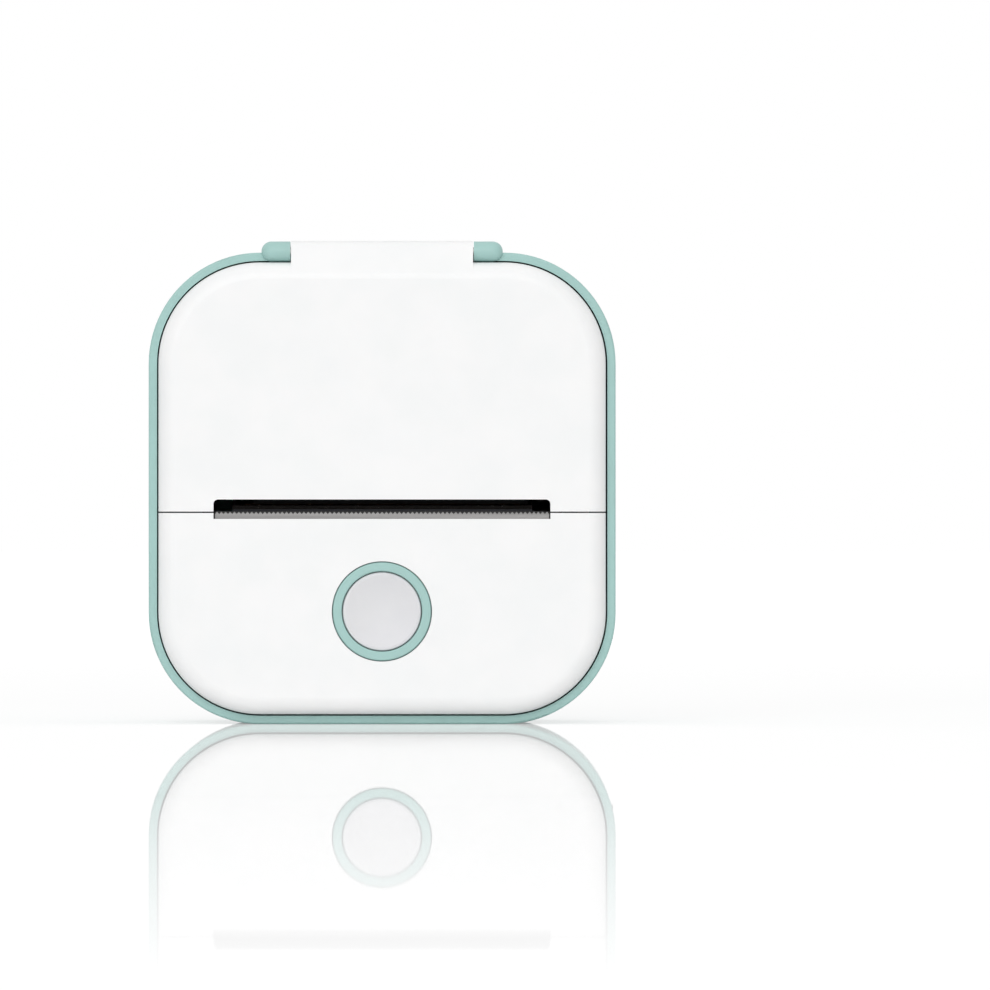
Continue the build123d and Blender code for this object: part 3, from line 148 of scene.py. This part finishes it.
@dataclass(frozen=True)
class Finish:
    """One real material and the way its surface was made.

    Two noises of the material's own coordinates vary its colour and roughness, and a finer
    one is its grain.
    """

    name: str
    colour: str
    second: str
    roughness: float
    roughness_range: float = 0.06
    patch_mm: float = 9.0
    grain_mm: float = 0.3
    grain_depth_mm: float = 0.01
    ior: float = 1.5
    metallic: float = 0.0
    lay: Axis | None = None
    lay_length: float = 25.0

    def build(self) -> bpy.types.Material:
        """Makes the material.

        Returns:
            The material, with its nodes.
        """
        material = bpy.data.materials.new(self.name)
        material.use_nodes = True
        tree = material.node_tree
        tree.nodes.clear()
        place = add_node(tree, "ShaderNodeTexCoord").outputs["Object"]
        colour = self.tint(tree, place)
        shader = add_node(
            tree,
            "ShaderNodeBsdfPrincipled",
            inputs={
                "Base Color": colour,
                "Roughness": self.gloss(tree, place),
                "Metallic": self.metallic,
                "IOR": self.ior,
                "Normal": self.relief(tree, place),
            },
        )
        self.extras(shader)
        add_node(
            tree,
            "ShaderNodeOutputMaterial",
            inputs={"Surface": shader.outputs["BSDF"]},
        )
        material.diffuse_color = linear(self.colour)
        return material

    def noise(
        self,
        tree: bpy.types.NodeTree,
        place: bpy.types.NodeSocket,
        size_mm: float,
        detail: float = 2.0,
    ) -> bpy.types.NodeSocket:
        """Adds a noise whose blotches have a real size, drawn out along the lay.

        Args:
            tree: The material's nodes.
            place: The coordinates to read.
            size_mm: The blotches' width in millimetres.
            detail: How many finer layers there are.

        Returns:
            The noise's factor.
        """
        if self.lay is not None:
            place = add_node(
                tree,
                "ShaderNodeMapping",
                inputs={"Vector": place, "Scale": self.lay.stretch(self.lay_length)},
            ).outputs["Vector"]
        return add_node(
            tree,
            "ShaderNodeTexNoise",
            inputs={"Vector": place, "Scale": 1 / (size_mm * MM), "Detail": detail},
        ).outputs["Fac"]

    def tint(
        self, tree: bpy.types.NodeTree, place: bpy.types.NodeSocket
    ) -> bpy.types.NodeSocket:
        """Mixes the two colours in soft patches.

        Args:
            tree: The material's nodes.
            place: The coordinates to read.

        Returns:
            The mixed colour.
        """
        patches = add_node(
            tree,
            "ShaderNodeMapRange",
            inputs={
                "Value": self.noise(tree, place, self.patch_mm),
                "From Min": PATCH_SPAN[0],
                "From Max": PATCH_SPAN[1],
            },
        )
        mixed = add_node(
            tree,
            "ShaderNodeMix",
            settings={"data_type": "RGBA"},
            inputs={
                "Factor": patches.outputs["Result"],
                "A": linear(self.colour),
                "B": linear(self.second),
            },
        )
        return mixed.outputs["Result"]

    def gloss(
        self, tree: bpy.types.NodeTree, place: bpy.types.NodeSocket
    ) -> bpy.types.NodeSocket:
        """Varies the roughness in patches a third as wide as the colour's.

        Args:
            tree: The material's nodes.
            place: The coordinates to read.

        Returns:
            The roughness.
        """
        half = self.roughness_range / 2
        return add_node(
            tree,
            "ShaderNodeMapRange",
            inputs={
                "Value": self.noise(tree, place, self.patch_mm / 3, 4.0),
                "From Min": GLOSS_SPAN[0],
                "From Max": GLOSS_SPAN[1],
                "To Min": self.roughness - half,
                "To Max": self.roughness + half,
            },
        ).outputs["Result"]

    def relief(
        self, tree: bpy.types.NodeTree, place: bpy.types.NodeSocket
    ) -> bpy.types.NodeSocket:
        """Raises the grain.

        Args:
            tree: The material's nodes.
            place: The coordinates to read.

        Returns:
            The bumped normal.
        """
        return add_node(
            tree,
            "ShaderNodeBump",
            inputs={
                "Strength": 1.0,
                "Distance": self.grain_depth_mm * MM,
                "Height": self.noise(tree, place, self.grain_mm),
            },
        ).outputs["Normal"]

    def extras(self, shader: bpy.types.Node) -> None:
        """Sets what only some materials have, such as light that goes under the surface."""


@dataclass(frozen=True)
class MouldedPlastic(Finish):
    """Resin injected into a tool whose faces were spark-eroded to a fine, even grain.

    A little light goes under the surface, which softens the edges of a pale moulding.
    """

    under_skin: float = 0.04
    depth_mm: float = 0.5

    def extras(self, shader: bpy.types.Node) -> None:
        """Lets some light go under the skin."""
        shader.inputs["Subsurface Weight"].default_value = self.under_skin
        shader.inputs["Subsurface Radius"].default_value = (1.0, 0.9, 0.8)
        shader.inputs["Subsurface Scale"].default_value = self.depth_mm * MM


@dataclass(frozen=True)
class StripedFilm(Finish):
    """Film or board with straight copper tracks under a clear or coloured layer."""

    track: str = "#b87333"
    pitch_mm: float = 1.0
    across: Axis = Axis.X

    def tint(
        self, tree: bpy.types.NodeTree, place: bpy.types.NodeSocket
    ) -> bpy.types.NodeSocket:
        """Draws the tracks over the film's own patches.

        Args:
            tree: The material's nodes.
            place: The coordinates to read.

        Returns:
            The colour with its tracks.
        """
        base = Finish.tint(self, tree, place)
        bands = add_node(
            tree,
            "ShaderNodeTexWave",
            settings={"bands_direction": self.across.name},
            # This scale gives one track to each pitch.
            inputs={"Vector": place, "Scale": tau / (WAVE_FACTOR * self.pitch_mm * MM)},
        )
        edge = add_node(
            tree,
            "ShaderNodeMapRange",
            inputs={
                "Value": bands.outputs["Fac"],
                "From Min": TRACK_SPAN[0],
                "From Max": TRACK_SPAN[1],
            },
        )
        mixed = add_node(
            tree,
            "ShaderNodeMix",
            settings={"data_type": "RGBA"},
            inputs={"Factor": edge.outputs["Result"], "A": base, "B": linear(self.track)},
        )
        return mixed.outputs["Result"]


# The keys are the record's material slots. Each grain is drawn at a real size, and where the
# real one is under a tenth of a millimetre it is drawn as coarse as it needs to show.
FINISHES: dict[str, Finish] = {
    # Pastel case resin: matt, with a soft, even sheen along its rounded edges.
    "mint_abs": MouldedPlastic(
        "Moulded ABS, mint", "#a3c9c4", "#a1c6c1", 0.42, grain_mm=0.18, grain_depth_mm=0.004
    ),
    # White skin resin: cleaner and slightly glossier than the case.
    "white_abs": MouldedPlastic(
        "Moulded ABS, white", "#f6f6f6", "#f3f4f4", 0.38, grain_mm=0.18, grain_depth_mm=0.003
    ),
    # Key cap resin, light grey, satin where fingers polish it.
    "grey_abs": MouldedPlastic(
        "Moulded ABS, light grey", "#dfdfe1", "#dadadd", 0.36, grain_mm=0.2, grain_depth_mm=0.004
    ),
    # Glass-filled nylon: dark, dry and slightly streaked by the fibres.
    "black_plastic": MouldedPlastic(
        "Moulded glass-filled nylon, black", "#1b1b1c", "#222223", 0.5, 0.14,
        patch_mm=4, grain_mm=0.35, grain_depth_mm=0.012, under_skin=0.0,
    ),
    "bay_plastic": MouldedPlastic(
        "Moulded ABS, charcoal", "#3d3e40", "#454648", 0.48, 0.1,
        patch_mm=7, grain_mm=0.3, grain_depth_mm=0.01, under_skin=0.0,
    ),
    # Natural acetal: waxy, off-white and a little translucent.
    "gear_plastic": MouldedPlastic(
        "Moulded acetal, natural", "#ece8dc", "#e4dfd0", 0.34, 0.08,
        patch_mm=5, grain_mm=0.4, grain_depth_mm=0.006, ior=1.48, under_skin=0.12,
    ),
    # Nickel-plated mild steel: satin, with faint rolling marks.
    "steel": Finish(
        "Nickel-plated steel, rolled", "#c9c8c5", "#bdbcb9", 0.3, 0.12,
        patch_mm=3, grain_mm=0.12, grain_depth_mm=0.003, metallic=1.0, lay=Axis.X,
    ),
    # Stamped stainless strip, brushed along its length. Its grey is set darker than bright
    # steel: partly the metal, partly painted shade for the strip at the slot's lower edge.
    "blade_steel": Finish(
        "Stamped stainless steel, brushed, partly painted shade", "#8b8a89", "#828180", 0.42, 0.14,
        patch_mm=2, grain_mm=0.1, grain_depth_mm=0.003, metallic=1.0, lay=Axis.X,
        lay_length=60,
    ),
    # Black anodised extrusion; the black also serves as painted shade, so that nothing bright
    # shows through the slot.
    "aluminium": Finish(
        "Anodised aluminium, black, partly painted shade", "#2c2d30", "#252629", 0.42, 0.16,
        patch_mm=3, grain_mm=0.14, grain_depth_mm=0.005, metallic=0.8, lay=Axis.X,
        lay_length=80,
    ),
    "brass": Finish(
        "Machined brass", "#d8bb74", "#c9a95f", 0.28, 0.12,
        patch_mm=2, grain_mm=0.12, grain_depth_mm=0.004, metallic=1.0, lay=Axis.Y,
    ),
    # Ground silicone: dull black, with fine grinding lines round the roller.
    "rubber": Finish(
        "Ground silicone rubber, black", "#131314", "#1b1b1c", 0.72, 0.12,
        patch_mm=3, grain_mm=0.16, grain_depth_mm=0.02, ior=1.42, lay=Axis.Y,
        lay_length=30,
    ),
    # Fired alumina under a dark protective glass: brown-black and slightly glossy. The dark coat
    # is partly real and partly painted shade for the head deep in the slot.
    "ceramic": Finish(
        "Fired alumina, dark glass coat, partly painted shade", "#2b2522", "#241f1c", 0.24, 0.08,
        patch_mm=4, grain_mm=0.3, grain_depth_mm=0.003, ior=1.7,
    ),
    "board": StripedFilm(
        "Glass-epoxy board, green solder mask", "#0f5a34", "#0c4f2e", 0.34, 0.1,
        patch_mm=6, grain_mm=0.5, grain_depth_mm=0.01, track="#146a3e", pitch_mm=1.4,
    ),
    "chip": Finish(
        "Moulded epoxy, black", "#1d1d1f", "#252527", 0.55, 0.1,
        patch_mm=2, grain_mm=0.15, grain_depth_mm=0.008,
    ),
    # Aluminium-nylon pouch: blue-grey, with soft creases.
    "foil": Finish(
        "Laminated pouch foil, blue", "#5d7fb0", "#5577a8", 0.3, 0.14,
        patch_mm=8, grain_mm=3.0, grain_depth_mm=0.08, metallic=0.55,
    ),
    "lead_red": Finish(
        "Extruded silicone sleeve, red", "#a3161a", "#961317", 0.45, 0.08,
        patch_mm=3, grain_mm=0.3, grain_depth_mm=0.006, ior=1.42,
    ),
    "ribbon": StripedFilm(
        "Polyimide film, copper tracks", "#c9822f", "#bf7828", 0.25, 0.08,
        patch_mm=5, grain_mm=0.6, grain_depth_mm=0.004, track="#8f5a22", pitch_mm=0.8,
    ),
}

# Fired into the head's face: a thin glossy brown line.
HEATER_GLAZE = Finish(
    "Fired glaze, brown", "#6a4a34", "#5b3f2c", 0.14, 0.05,
    patch_mm=1, grain_mm=0.25, grain_depth_mm=0.002,
)
# Amber film, wrinkled where it wraps the cell's end.
CELL_TAPE = Finish(
    "Polyimide tape, amber", "#c98a2c", "#bd7f25", 0.22, 0.08,
    patch_mm=5, grain_mm=1.5, grain_depth_mm=0.02,
)

MATERIALS: dict[str, bpy.types.Material] = {
    slot: finish.build() for slot, finish in FINISHES.items()
}


def millimetres(*values: float) -> Vector:
    """Turns a place or size in millimetres into metres."""
    return Vector(values) * MM


def bevel_all(bm: bmesh.types.BMesh, width_mm: float, segments: int = 2) -> None:
    """Rounds every sharp edge of a mesh.

    Args:
        bm: The mesh.
        width_mm: The rounding's width.
        segments: How many faces the rounding has.
    """
    sharp = [e for e in bm.edges if e.is_manifold and e.calc_face_angle(0.0) > ROUNDED_ANGLE]
    bmesh.ops.bevel(
        bm,
        geom=sharp,
        offset=width_mm * MM,
        offset_type="OFFSET",
        affect="EDGES",
        segments=segments,
        profile=0.5,
        material=-1,
        clamp_overlap=True,
    )


def block(
    bm: bmesh.types.BMesh, low_mm: Vector, high_mm: Vector, round_mm: float = 0.0
) -> list[bmesh.types.BMVert]:
    """Adds a block between two corners, with its edges rounded.

    Args:
        bm: The mesh that gets the block.
        low_mm: The lowest corner.
        high_mm: The highest corner.
        round_mm: The rounding of the edges.

    Returns:
        The block's vertices.
    """
    single = bmesh.new()
    bmesh.ops.create_cube(single, size=1.0)
    bmesh.ops.scale(single, vec=(high_mm - low_mm) * MM, verts=single.verts)
    bmesh.ops.translate(single, vec=(high_mm + low_mm) * MM / 2, verts=single.verts)
    if round_mm:
        bevel_all(single, round_mm)
    return merge(bm, single)


def merge(bm: bmesh.types.BMesh, other: bmesh.types.BMesh) -> list[bmesh.types.BMVert]:
    """Moves one mesh into another.

    Args:
        bm: The mesh that gets it.
        other: The mesh that is moved, and freed.

    Returns:
        The moved vertices.
    """
    before = len(bm.verts)
    held = bpy.data.meshes.new("held")
    other.to_mesh(held)
    other.free()
    bm.from_mesh(held)
    bpy.data.meshes.remove(held)
    bm.verts.ensure_lookup_table()
    return bm.verts[before:]


@dataclass
class SubAssembly:
    """A group of CAD nodes that are dressed together, with the fine pieces made for them."""

    nodes: tuple[str, ...] = ()

    def dress(self) -> None:
        """Gives each CAD node the finish of the slot that the record names for it."""
        slots = {
            part["node"]: part["material_slot"] for part in frame["record"]["subparts"]
        }
        for name in self.nodes:
            node = frame["nodes"][name]
            node.data.materials.clear()
            node.data.materials.append(MATERIALS[slots[name]])
            LOG.info("dressed %s in %s", name, MATERIALS[slots[name]].name)

    def build(self) -> None:
        """Makes the group's own pieces."""

    def place(
        self,
        bm: bmesh.types.BMesh,
        name: str,
        slot: str,
        body: str,
        material: bpy.types.Material | None = None,
    ) -> bpy.types.Object:
        """Turns a finished mesh into a piece that rides on a body.

        Args:
            bm: The finished mesh, which is freed.
            name: The piece's name.
            slot: The record's material slot.
            body: The CAD body that carries it.
            material: Its finish, or nothing for the slot's own.

        Returns:
            The new piece.
        """
        bmesh.ops.remove_doubles(bm, verts=bm.verts, dist=JOIN_DISTANCE)
        bmesh.ops.recalc_face_normals(bm, faces=bm.faces)
        mesh = bpy.data.meshes.new(name)
        bm.to_mesh(mesh)
        bm.free()
        mesh.shade_smooth()
        mesh.set_sharp_from_angle(angle=SHADED_ANGLE)
        mesh.materials.append(material or MATERIALS[slot])
        piece = bpy.data.objects.new(name, mesh)
        bpy.context.scene.collection.objects.link(piece)
        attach(piece, body)
        LOG.info("made %s, %d faces, on %s", name, len(mesh.polygons), body)
        return piece


@dataclass
class CaseShells(SubAssembly):
    """The mint rear shell, the white front panel and what closes them."""

    nodes: tuple[str, ...] = (
        "rear_shell", "front_panel", "tear_bar", "hinge_pin", "case_screws", "bay_screws",
    )


@dataclass
class LidAssembly(SubAssembly):
    """The lid with its inner frame, and the stiffening ribs inside its skin."""

    nodes: tuple[str, ...] = ("lid_cover", "lid_frame", "platen_bushes")
    rib_height: float = 0.55
    rib_width: float = 0.9
    rib_low: float = 50.4
    rib_high: float = 77.0
    rib_places: tuple[float, ...] = (-24.0, -12.0, 0.0, 12.0, 24.0)
    cross_places: tuple[float, ...] = (56.0, 70.0)
    cross_reach: float = 29.0
    cross_drop: float = 0.1
    rounding: float = 0.15
    sunk: float = 0.1

    def build(self) -> None:
        """Makes the grid of ribs that keeps the skin flat."""
        bm = bmesh.new()
        # The frame stands on the skin, so its lowest y is the skin's inner face.
        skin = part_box("lid_frame")[0].y / MM
        back, front = skin + self.rib_height, skin - self.sunk
        half = self.rib_width / 2
        for x in self.rib_places:
            block(
                bm,
                Vector((x - half, front, self.rib_low)),
                Vector((x + half, back, self.rib_high)),
                self.rounding,
            )
        for z in self.cross_places:
            block(
                bm,
                Vector((-self.cross_reach, front, z - half)),
                Vector((self.cross_reach, back - self.cross_drop, z + half)),
                self.rounding,
            )
        self.place(bm, "lid_ribs", "white_abs", "lid")


@dataclass
class PrintMechanism(SubAssembly):
    """Roller, gears, motor, frame and print head, with the head's springs and its face."""

    nodes: tuple[str, ...] = (
        "platen_shaft", "platen_rubber", "platen_gear", "idler_gear", "idler_pin",
        "stepper_motor", "motor_shaft", "motor_pinion", "mechanism_frame", "print_head",
        "head_heatsink", "head_pin", "frame_screws",
    )
    spring_keep: float = 0.92
    wire_radius: float = 0.2
    turns: float = 5.0
    turn_steps: int = 28
    wire_sides: int = 10
    tilt: float = radians(15)
    face_gap: float = 0.15
    head_reach: float = 26.4
    heater_width: float = 0.7
    heater_height: float = 0.04
    heater_inset: float = 1.5
    driver_along: float = 3.9
    driver_width: float = 2.2
    driver_height: float = 0.5
    driver_inset: float = 3.0
    # A strip's outline, in shares of its width and height, from its front foot to its back one.
    crown: tuple[tuple[float, float], ...] = (
        (-0.5, -0.3), (-0.42, 0.45), (-0.2, 0.9), (0.2, 0.9), (0.42, 0.45), (0.5, -0.3),
    )

    def build(self) -> None:
        """Makes the coil springs and the two strips on the head's face."""
        self.springs()
        self.heater_line()
        self.driver_cover()

    def springs(self) -> None:
        """Winds both springs: a ring of wire spun up a helix, closed at its ends."""
        bm = bmesh.new()
        low, high = (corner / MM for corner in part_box("head_springs"))
        outer = (high.y - low.y) / 2
        middle_x, middle_y = high.x - outer, (high.y + low.y) / 2
        radius = outer - self.wire_radius
        rise = high.z - low.z - 2 * self.wire_radius
        steps = int(self.turns * self.turn_steps)
        for side in (-1, 1):
            coil = bmesh.new()
            bmesh.ops.create_circle(
                coil, cap_ends=False, segments=self.wire_sides, radius=self.wire_radius * MM
            )
            bmesh.ops.rotate(
                coil, cent=(0, 0, 0), matrix=Matrix.Rotation(pi / 2, 3, "X"), verts=coil.verts
            )
            start = millimetres(
                side * middle_x + radius, middle_y, low.z + self.wire_radius
            )
            bmesh.ops.translate(coil, vec=start, verts=coil.verts)
            bmesh.ops.spin(
                coil,
                geom=coil.verts[:] + coil.edges[:],
                cent=millimetres(side * middle_x, middle_y, 0),
                axis=(0, 0, 1),
                dvec=(0, 0, rise * MM / steps),
                angle=tau * self.turns,
                steps=steps,
                use_merge=False,
            )
            bmesh.ops.holes_fill(coil, edges=coil.edges, sides=self.wire_sides)
            merge(bm, coil)
        piece = self.place(bm, "head_spring_coils", "steel", "case")
        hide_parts("head_springs")
        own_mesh(piece)

    def on_head(self, along: float, below: float) -> tuple[float, float]:
        """Gives the depth and height of a place on the tilted head.

        Args:
            along: The distance back from the line where the head meets the roller.
            below: The distance under the roller's tangent there.

        Returns:
            The place's y and z in millimetres.
        """
        low, high = (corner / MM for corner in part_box("platen_rubber"))
        middle, radius = (low + high) / 2, (high.z - low.z) / 2
        sink = radius + below
        y = middle.y + along * cos(self.tilt) + sink * sin(self.tilt)
        z = middle.z + along * sin(self.tilt) - sink * cos(self.tilt)
        return y, z

    def strip(
        self, name: str, along: float, width: float, height: float, reach: float,
        material: bpy.types.Material, slot: str,
    ) -> None:
        """Lays a low crowned strip along the head's face.

        Args:
            name: The piece's name.
            along: Where its middle lies.
            width: Its width.
            height: How proud it stands.
            reach: How far it goes to each side.
            material: Its finish.
            slot: The record's material slot.
        """
        bm = bmesh.new()
        ring = []
        for across, up in self.crown:
            y, z = self.on_head(along + across * width, self.face_gap - up * height)
            ring.append(bm.verts.new(millimetres(-reach, y, z)))
        face = bm.faces.new(ring)
        grown = bmesh.ops.extrude_face_region(bm, geom=[face], use_keep_orig=True)
        moved = [v for v in grown["geom"] if isinstance(v, bmesh.types.BMVert)]
        bmesh.ops.translate(bm, vec=millimetres(2 * reach, 0, 0), verts=moved)
        self.place(bm, name, slot, "head", material)

    def heater_line(self) -> None:
        """Makes the glazed line of heater dots, which shows as a thin brown stripe."""
        self.strip(
            "heater_line",
            0.0,
            self.heater_width,
            self.heater_height,
            self.head_reach - self.heater_inset,
            HEATER_GLAZE.build(),
            "ceramic",
        )

    def driver_cover(self) -> None:
        """Makes the bead of black epoxy over the head's driver chips."""
        self.strip(
            "driver_cover",
            self.driver_along,
            self.driver_width,
            self.driver_height,
            self.head_reach - self.driver_inset,
            MATERIALS["chip"],
            "chip",
        )


@dataclass
class PaperBay(SubAssembly):
    """The trough that holds the paper, and the low ribs that it runs on."""

    nodes: tuple[str, ...] = ("paper_bay", "paper_sensor")
    centre_y: float = 1.5
    centre_z: float = 62.0
    radius: float = 16.0
    rib_height: float = 0.35
    rib_width: float = 0.9
    rib_places: tuple[float, ...] = (-25.0, -15.0, -5.0, 5.0, 15.0, 25.0)
    arc_start: float = radians(-120)
    arc_end: float = radians(-3)
    arc_steps: int = 40
    # A rib's outline: half widths to each side, and how far in it reaches, in shares.
    outline: tuple[tuple[float, float], ...] = ((-1, -0.1), (-0.7, 1), (0.7, 1), (1, -0.1))

    def build(self) -> None:
        """Spins each rib round the trough."""
        bm = bmesh.new()
        start = Vector((0, cos(self.arc_start), sin(self.arc_start)))
        for x in self.rib_places:
            rib = bmesh.new()
            ring = []
            for side, depth in self.outline:
                out = self.radius - depth * self.rib_height
                place = Vector((x + side * self.rib_width / 2, self.centre_y, self.centre_z))
                ring.append(rib.verts.new((place + start * out) * MM))
            for first, second in zip(ring, ring[1:] + ring[:1]):
                rib.edges.new((first, second))
            bmesh.ops.spin(
                rib,
                geom=rib.verts[:] + rib.edges[:],
                cent=millimetres(0, self.centre_y, self.centre_z),
                axis=(1, 0, 0),
                dvec=(0, 0, 0),
                angle=self.arc_end - self.arc_start,
                steps=self.arc_steps,
                use_merge=False,
            )
            bmesh.ops.holes_fill(rib, edges=rib.edges, sides=len(self.outline))
            merge(bm, rib)
        self.place(bm, "bay_ribs", "bay_plastic", "case")


@dataclass
class ButtonGroup(SubAssembly):
    """The round power button in its mint ring, with its switch and board."""

    nodes: tuple[str, ...] = (
        "button_bezel", "power_button", "switch_plunger", "button_switch", "button_board",
        "button_board_screws",
    )


@dataclass
class Electronics(SubAssembly):
    """Main board, socket, battery and leads, with the cell's tape."""

    nodes: tuple[str, ...] = (
        "main_board", "board_chips", "radio_shield", "ribbon_socket", "head_ribbon",
        "usb_socket", "battery_cell", "battery_leads", "battery_plug", "board_screws",
    )
    tape_width: float = 3.3
    tape_wrap: float = 0.12
    tape_back: float = 0.05
    rounding: float = 0.3

    def build(self) -> None:
        """Makes the tape over the cell's protection board."""
        low, high = (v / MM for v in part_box("battery_cell"))
        bm = bmesh.new()
        block(
            bm,
            Vector((low.x - self.tape_wrap, low.y - self.tape_wrap, high.z - self.tape_width)),
            Vector((high.x + self.tape_wrap, high.y - self.tape_back, high.z + self.tape_wrap)),
            self.rounding,
        )
        self.place(bm, "cell_tape", "ribbon", "case", CELL_TAPE.build())


@dataclass(frozen=True)
class Softbox:
    """A square soft lamp: where it hangs, what it points at, its side and its watts."""

    name: str
    place: tuple[float, float, float]
    target: tuple[float, float, float]
    size: float
    power: float

    def build(self) -> None:
        """Hangs the lamp."""
        data = bpy.data.lights.new(self.name, "AREA")
        data.size = self.size
        data.energy = self.power
        lamp = bpy.data.objects.new(self.name, data)
        bpy.context.scene.collection.objects.link(lamp)
        lamp.location = self.place
        aim = Vector(self.target) - Vector(self.place)
        lamp.rotation_euler = aim.to_track_quat("-Z", "Y").to_euler()


@dataclass
class Studio:
    """Pale floor, white surroundings, soft lamps and the camera, in metres."""

    camera_x: float = 0.0203
    camera_z: float = 0.0412
    distance: float = 2.0
    view_width: float = 0.1777
    sensor_mm: float = 36.0
    floor_size: float = 12.0
    mirror_near: float = 0.5
    mirror_far: float = 0.02
    mirror_start: float = 0.5
    mirror_end: float = 1.08
    mirror_roughness: float = 0.012
    floor_colour: str = "#cfcfcf"
    glow_near: float = 0.46
    glow_far: float = 0.66
    lit_middle: float = -0.7
    glow_start: float = 0.9
    glow_end: float = 2.2
    sky: float = 0.62
    lamps: tuple[Softbox, ...] = (
        Softbox("front_softbox", (-0.5, -3.0, 1.3), (0, 0, 0.04), 2.2, 37.0),
        Softbox("top_softbox", (0.05, -0.15, 1.1), (0, 0, 0.05), 0.9, 1.5),
    )

    def build(self) -> None:
        """Makes the whole studio."""
        self.floor()
        self.world()
        for lamp in self.lamps:
            lamp.build()
        self.camera()
        bpy.context.scene.view_settings.view_transform = "Standard"

    def seen_directly(self, tree: bpy.types.NodeTree) -> bpy.types.NodeSocket:
        """Tells rays from the camera, or by way of a mirror or glass, from all others.

        Args:
            tree: The nodes of a material or of the world.

        Returns:
            1 for such a ray and 0 for any other.
        """
        path = add_node(tree, "ShaderNodeLightPath")
        first = add_node(
            tree,
            "ShaderNodeMath",
            settings={"operation": "MAXIMUM"},
            inputs={0: path.outputs["Is Camera Ray"], 1: path.outputs["Is Glossy Ray"]},
        )
        return add_node(
            tree,
            "ShaderNodeMath",
            settings={"operation": "MAXIMUM"},
            inputs={0: first.outputs["Value"], 1: path.outputs["Is Transmission Ray"]},
        ).outputs["Value"]

    def floor(self) -> None:
        """Makes the floor: pale, with the object's shadow and a faint mirrored picture of it."""
        bm = bmesh.new()
        bmesh.ops.create_grid(bm, x_segments=1, y_segments=1, size=self.floor_size / 2)
        mesh = bpy.data.meshes.new("floor")
        bm.to_mesh(mesh)
        bm.free()
        floor = bpy.data.objects.new("floor", mesh)
        bpy.context.scene.collection.objects.link(floor)
        material = bpy.data.materials.new("Polished acrylic sheet, white")
        material.use_nodes = True
        tree = material.node_tree
        tree.nodes.clear()
        matt = add_node(
            tree, "ShaderNodeBsdfDiffuse", inputs={"Color": linear(self.floor_colour)}
        )
        mirror = add_node(
            tree,
            "ShaderNodeBsdfGlossy",
            inputs={"Color": linear("#ffffff"), "Roughness": self.mirror_roughness},
        )
        place = add_node(tree, "ShaderNodeTexCoord").outputs["Object"]
        reach = add_node(
            tree,
            "ShaderNodeVectorMath",
            settings={"operation": "LENGTH"},
            inputs={0: place},
        )
        share = add_node(
            tree,
            "ShaderNodeMapRange",
            inputs={
                "Value": reach.outputs["Value"],
                "From Min": self.mirror_start,
                "From Max": self.mirror_end,
                "To Min": self.mirror_near,
                "To Max": self.mirror_far,
            },
        )
        away = add_node(
            tree,
            "ShaderNodeVectorMath",
            settings={"operation": "DISTANCE"},
            inputs={0: place, 1: (0.0, self.lit_middle, 0.0)},
        )
        outer = add_node(
            tree,
            "ShaderNodeMapRange",
            inputs={
                "Value": away.outputs["Value"],
                "From Min": self.glow_start,
                "From Max": self.glow_end,
                "To Min": self.glow_near,
                "To Max": self.glow_far,
            },
        )
        strength = add_node(
            tree,
            "ShaderNodeMath",
            settings={"operation": "MULTIPLY"},
            inputs={0: self.seen_directly(tree), 1: outer.outputs["Result"]},
        )
        glow = add_node(
            tree, "ShaderNodeEmission", inputs={"Strength": strength.outputs["Value"]}
        )
        pale = add_node(
            tree,
            "ShaderNodeAddShader",
            inputs={0: matt.outputs["BSDF"], 1: glow.outputs["Emission"]},
        )
        mixed = add_node(
            tree,
            "ShaderNodeMixShader",
            inputs={
                0: share.outputs["Result"],
                1: pale.outputs["Shader"],
                2: mirror.outputs["BSDF"],
            },
        )
        add_node(
            tree, "ShaderNodeOutputMaterial", inputs={"Surface": mixed.outputs["Shader"]}
        )
        mesh.materials.append(material)

    def world(self) -> None:
        """Makes the surroundings: white to the eye, and a plain soft light on the object."""
        world = bpy.data.worlds.new("studio")
        bpy.context.scene.world = world
        world.use_nodes = True
        tree = world.node_tree
        tree.nodes.clear()
        strength = add_node(
            tree,
            "ShaderNodeMapRange",
            inputs={"Value": self.seen_directly(tree), "To Min": self.sky, "To Max": 1.0},
        )
        background = add_node(
            tree,
            "ShaderNodeBackground",
            inputs={"Color": linear("#ffffff"), "Strength": strength.outputs["Result"]},
        )
        add_node(
            tree,
            "ShaderNodeOutputWorld",
            inputs={"Surface": background.outputs["Background"]},
        )

    def camera(self) -> None:
        """Sets a long lens level with the middle of the picture."""
        data = bpy.data.cameras.new("camera")
        data.sensor_width = self.sensor_mm
        data.lens = self.sensor_mm * self.distance / self.view_width
        data.clip_start, data.clip_end = 0.1, 50.0
        camera = bpy.data.objects.new("camera", data)
        bpy.context.scene.collection.objects.link(camera)
        camera.location = (self.camera_x, CAD_LOW.y - self.distance, self.camera_z)
        camera.rotation_euler = (pi / 2, 0, 0)
        bpy.context.scene.camera = camera


def main() -> None:
    """Builds the studio and every group."""
    logging.basicConfig(level=logging.INFO, format="%(message)s")
    Studio().build()
    groups = (
        CaseShells(), LidAssembly(), PrintMechanism(), PaperBay(), ButtonGroup(), Electronics(),
    )
    for group in groups:
        group.dress()
        group.build()


if __name__ == "__main__":
    main()
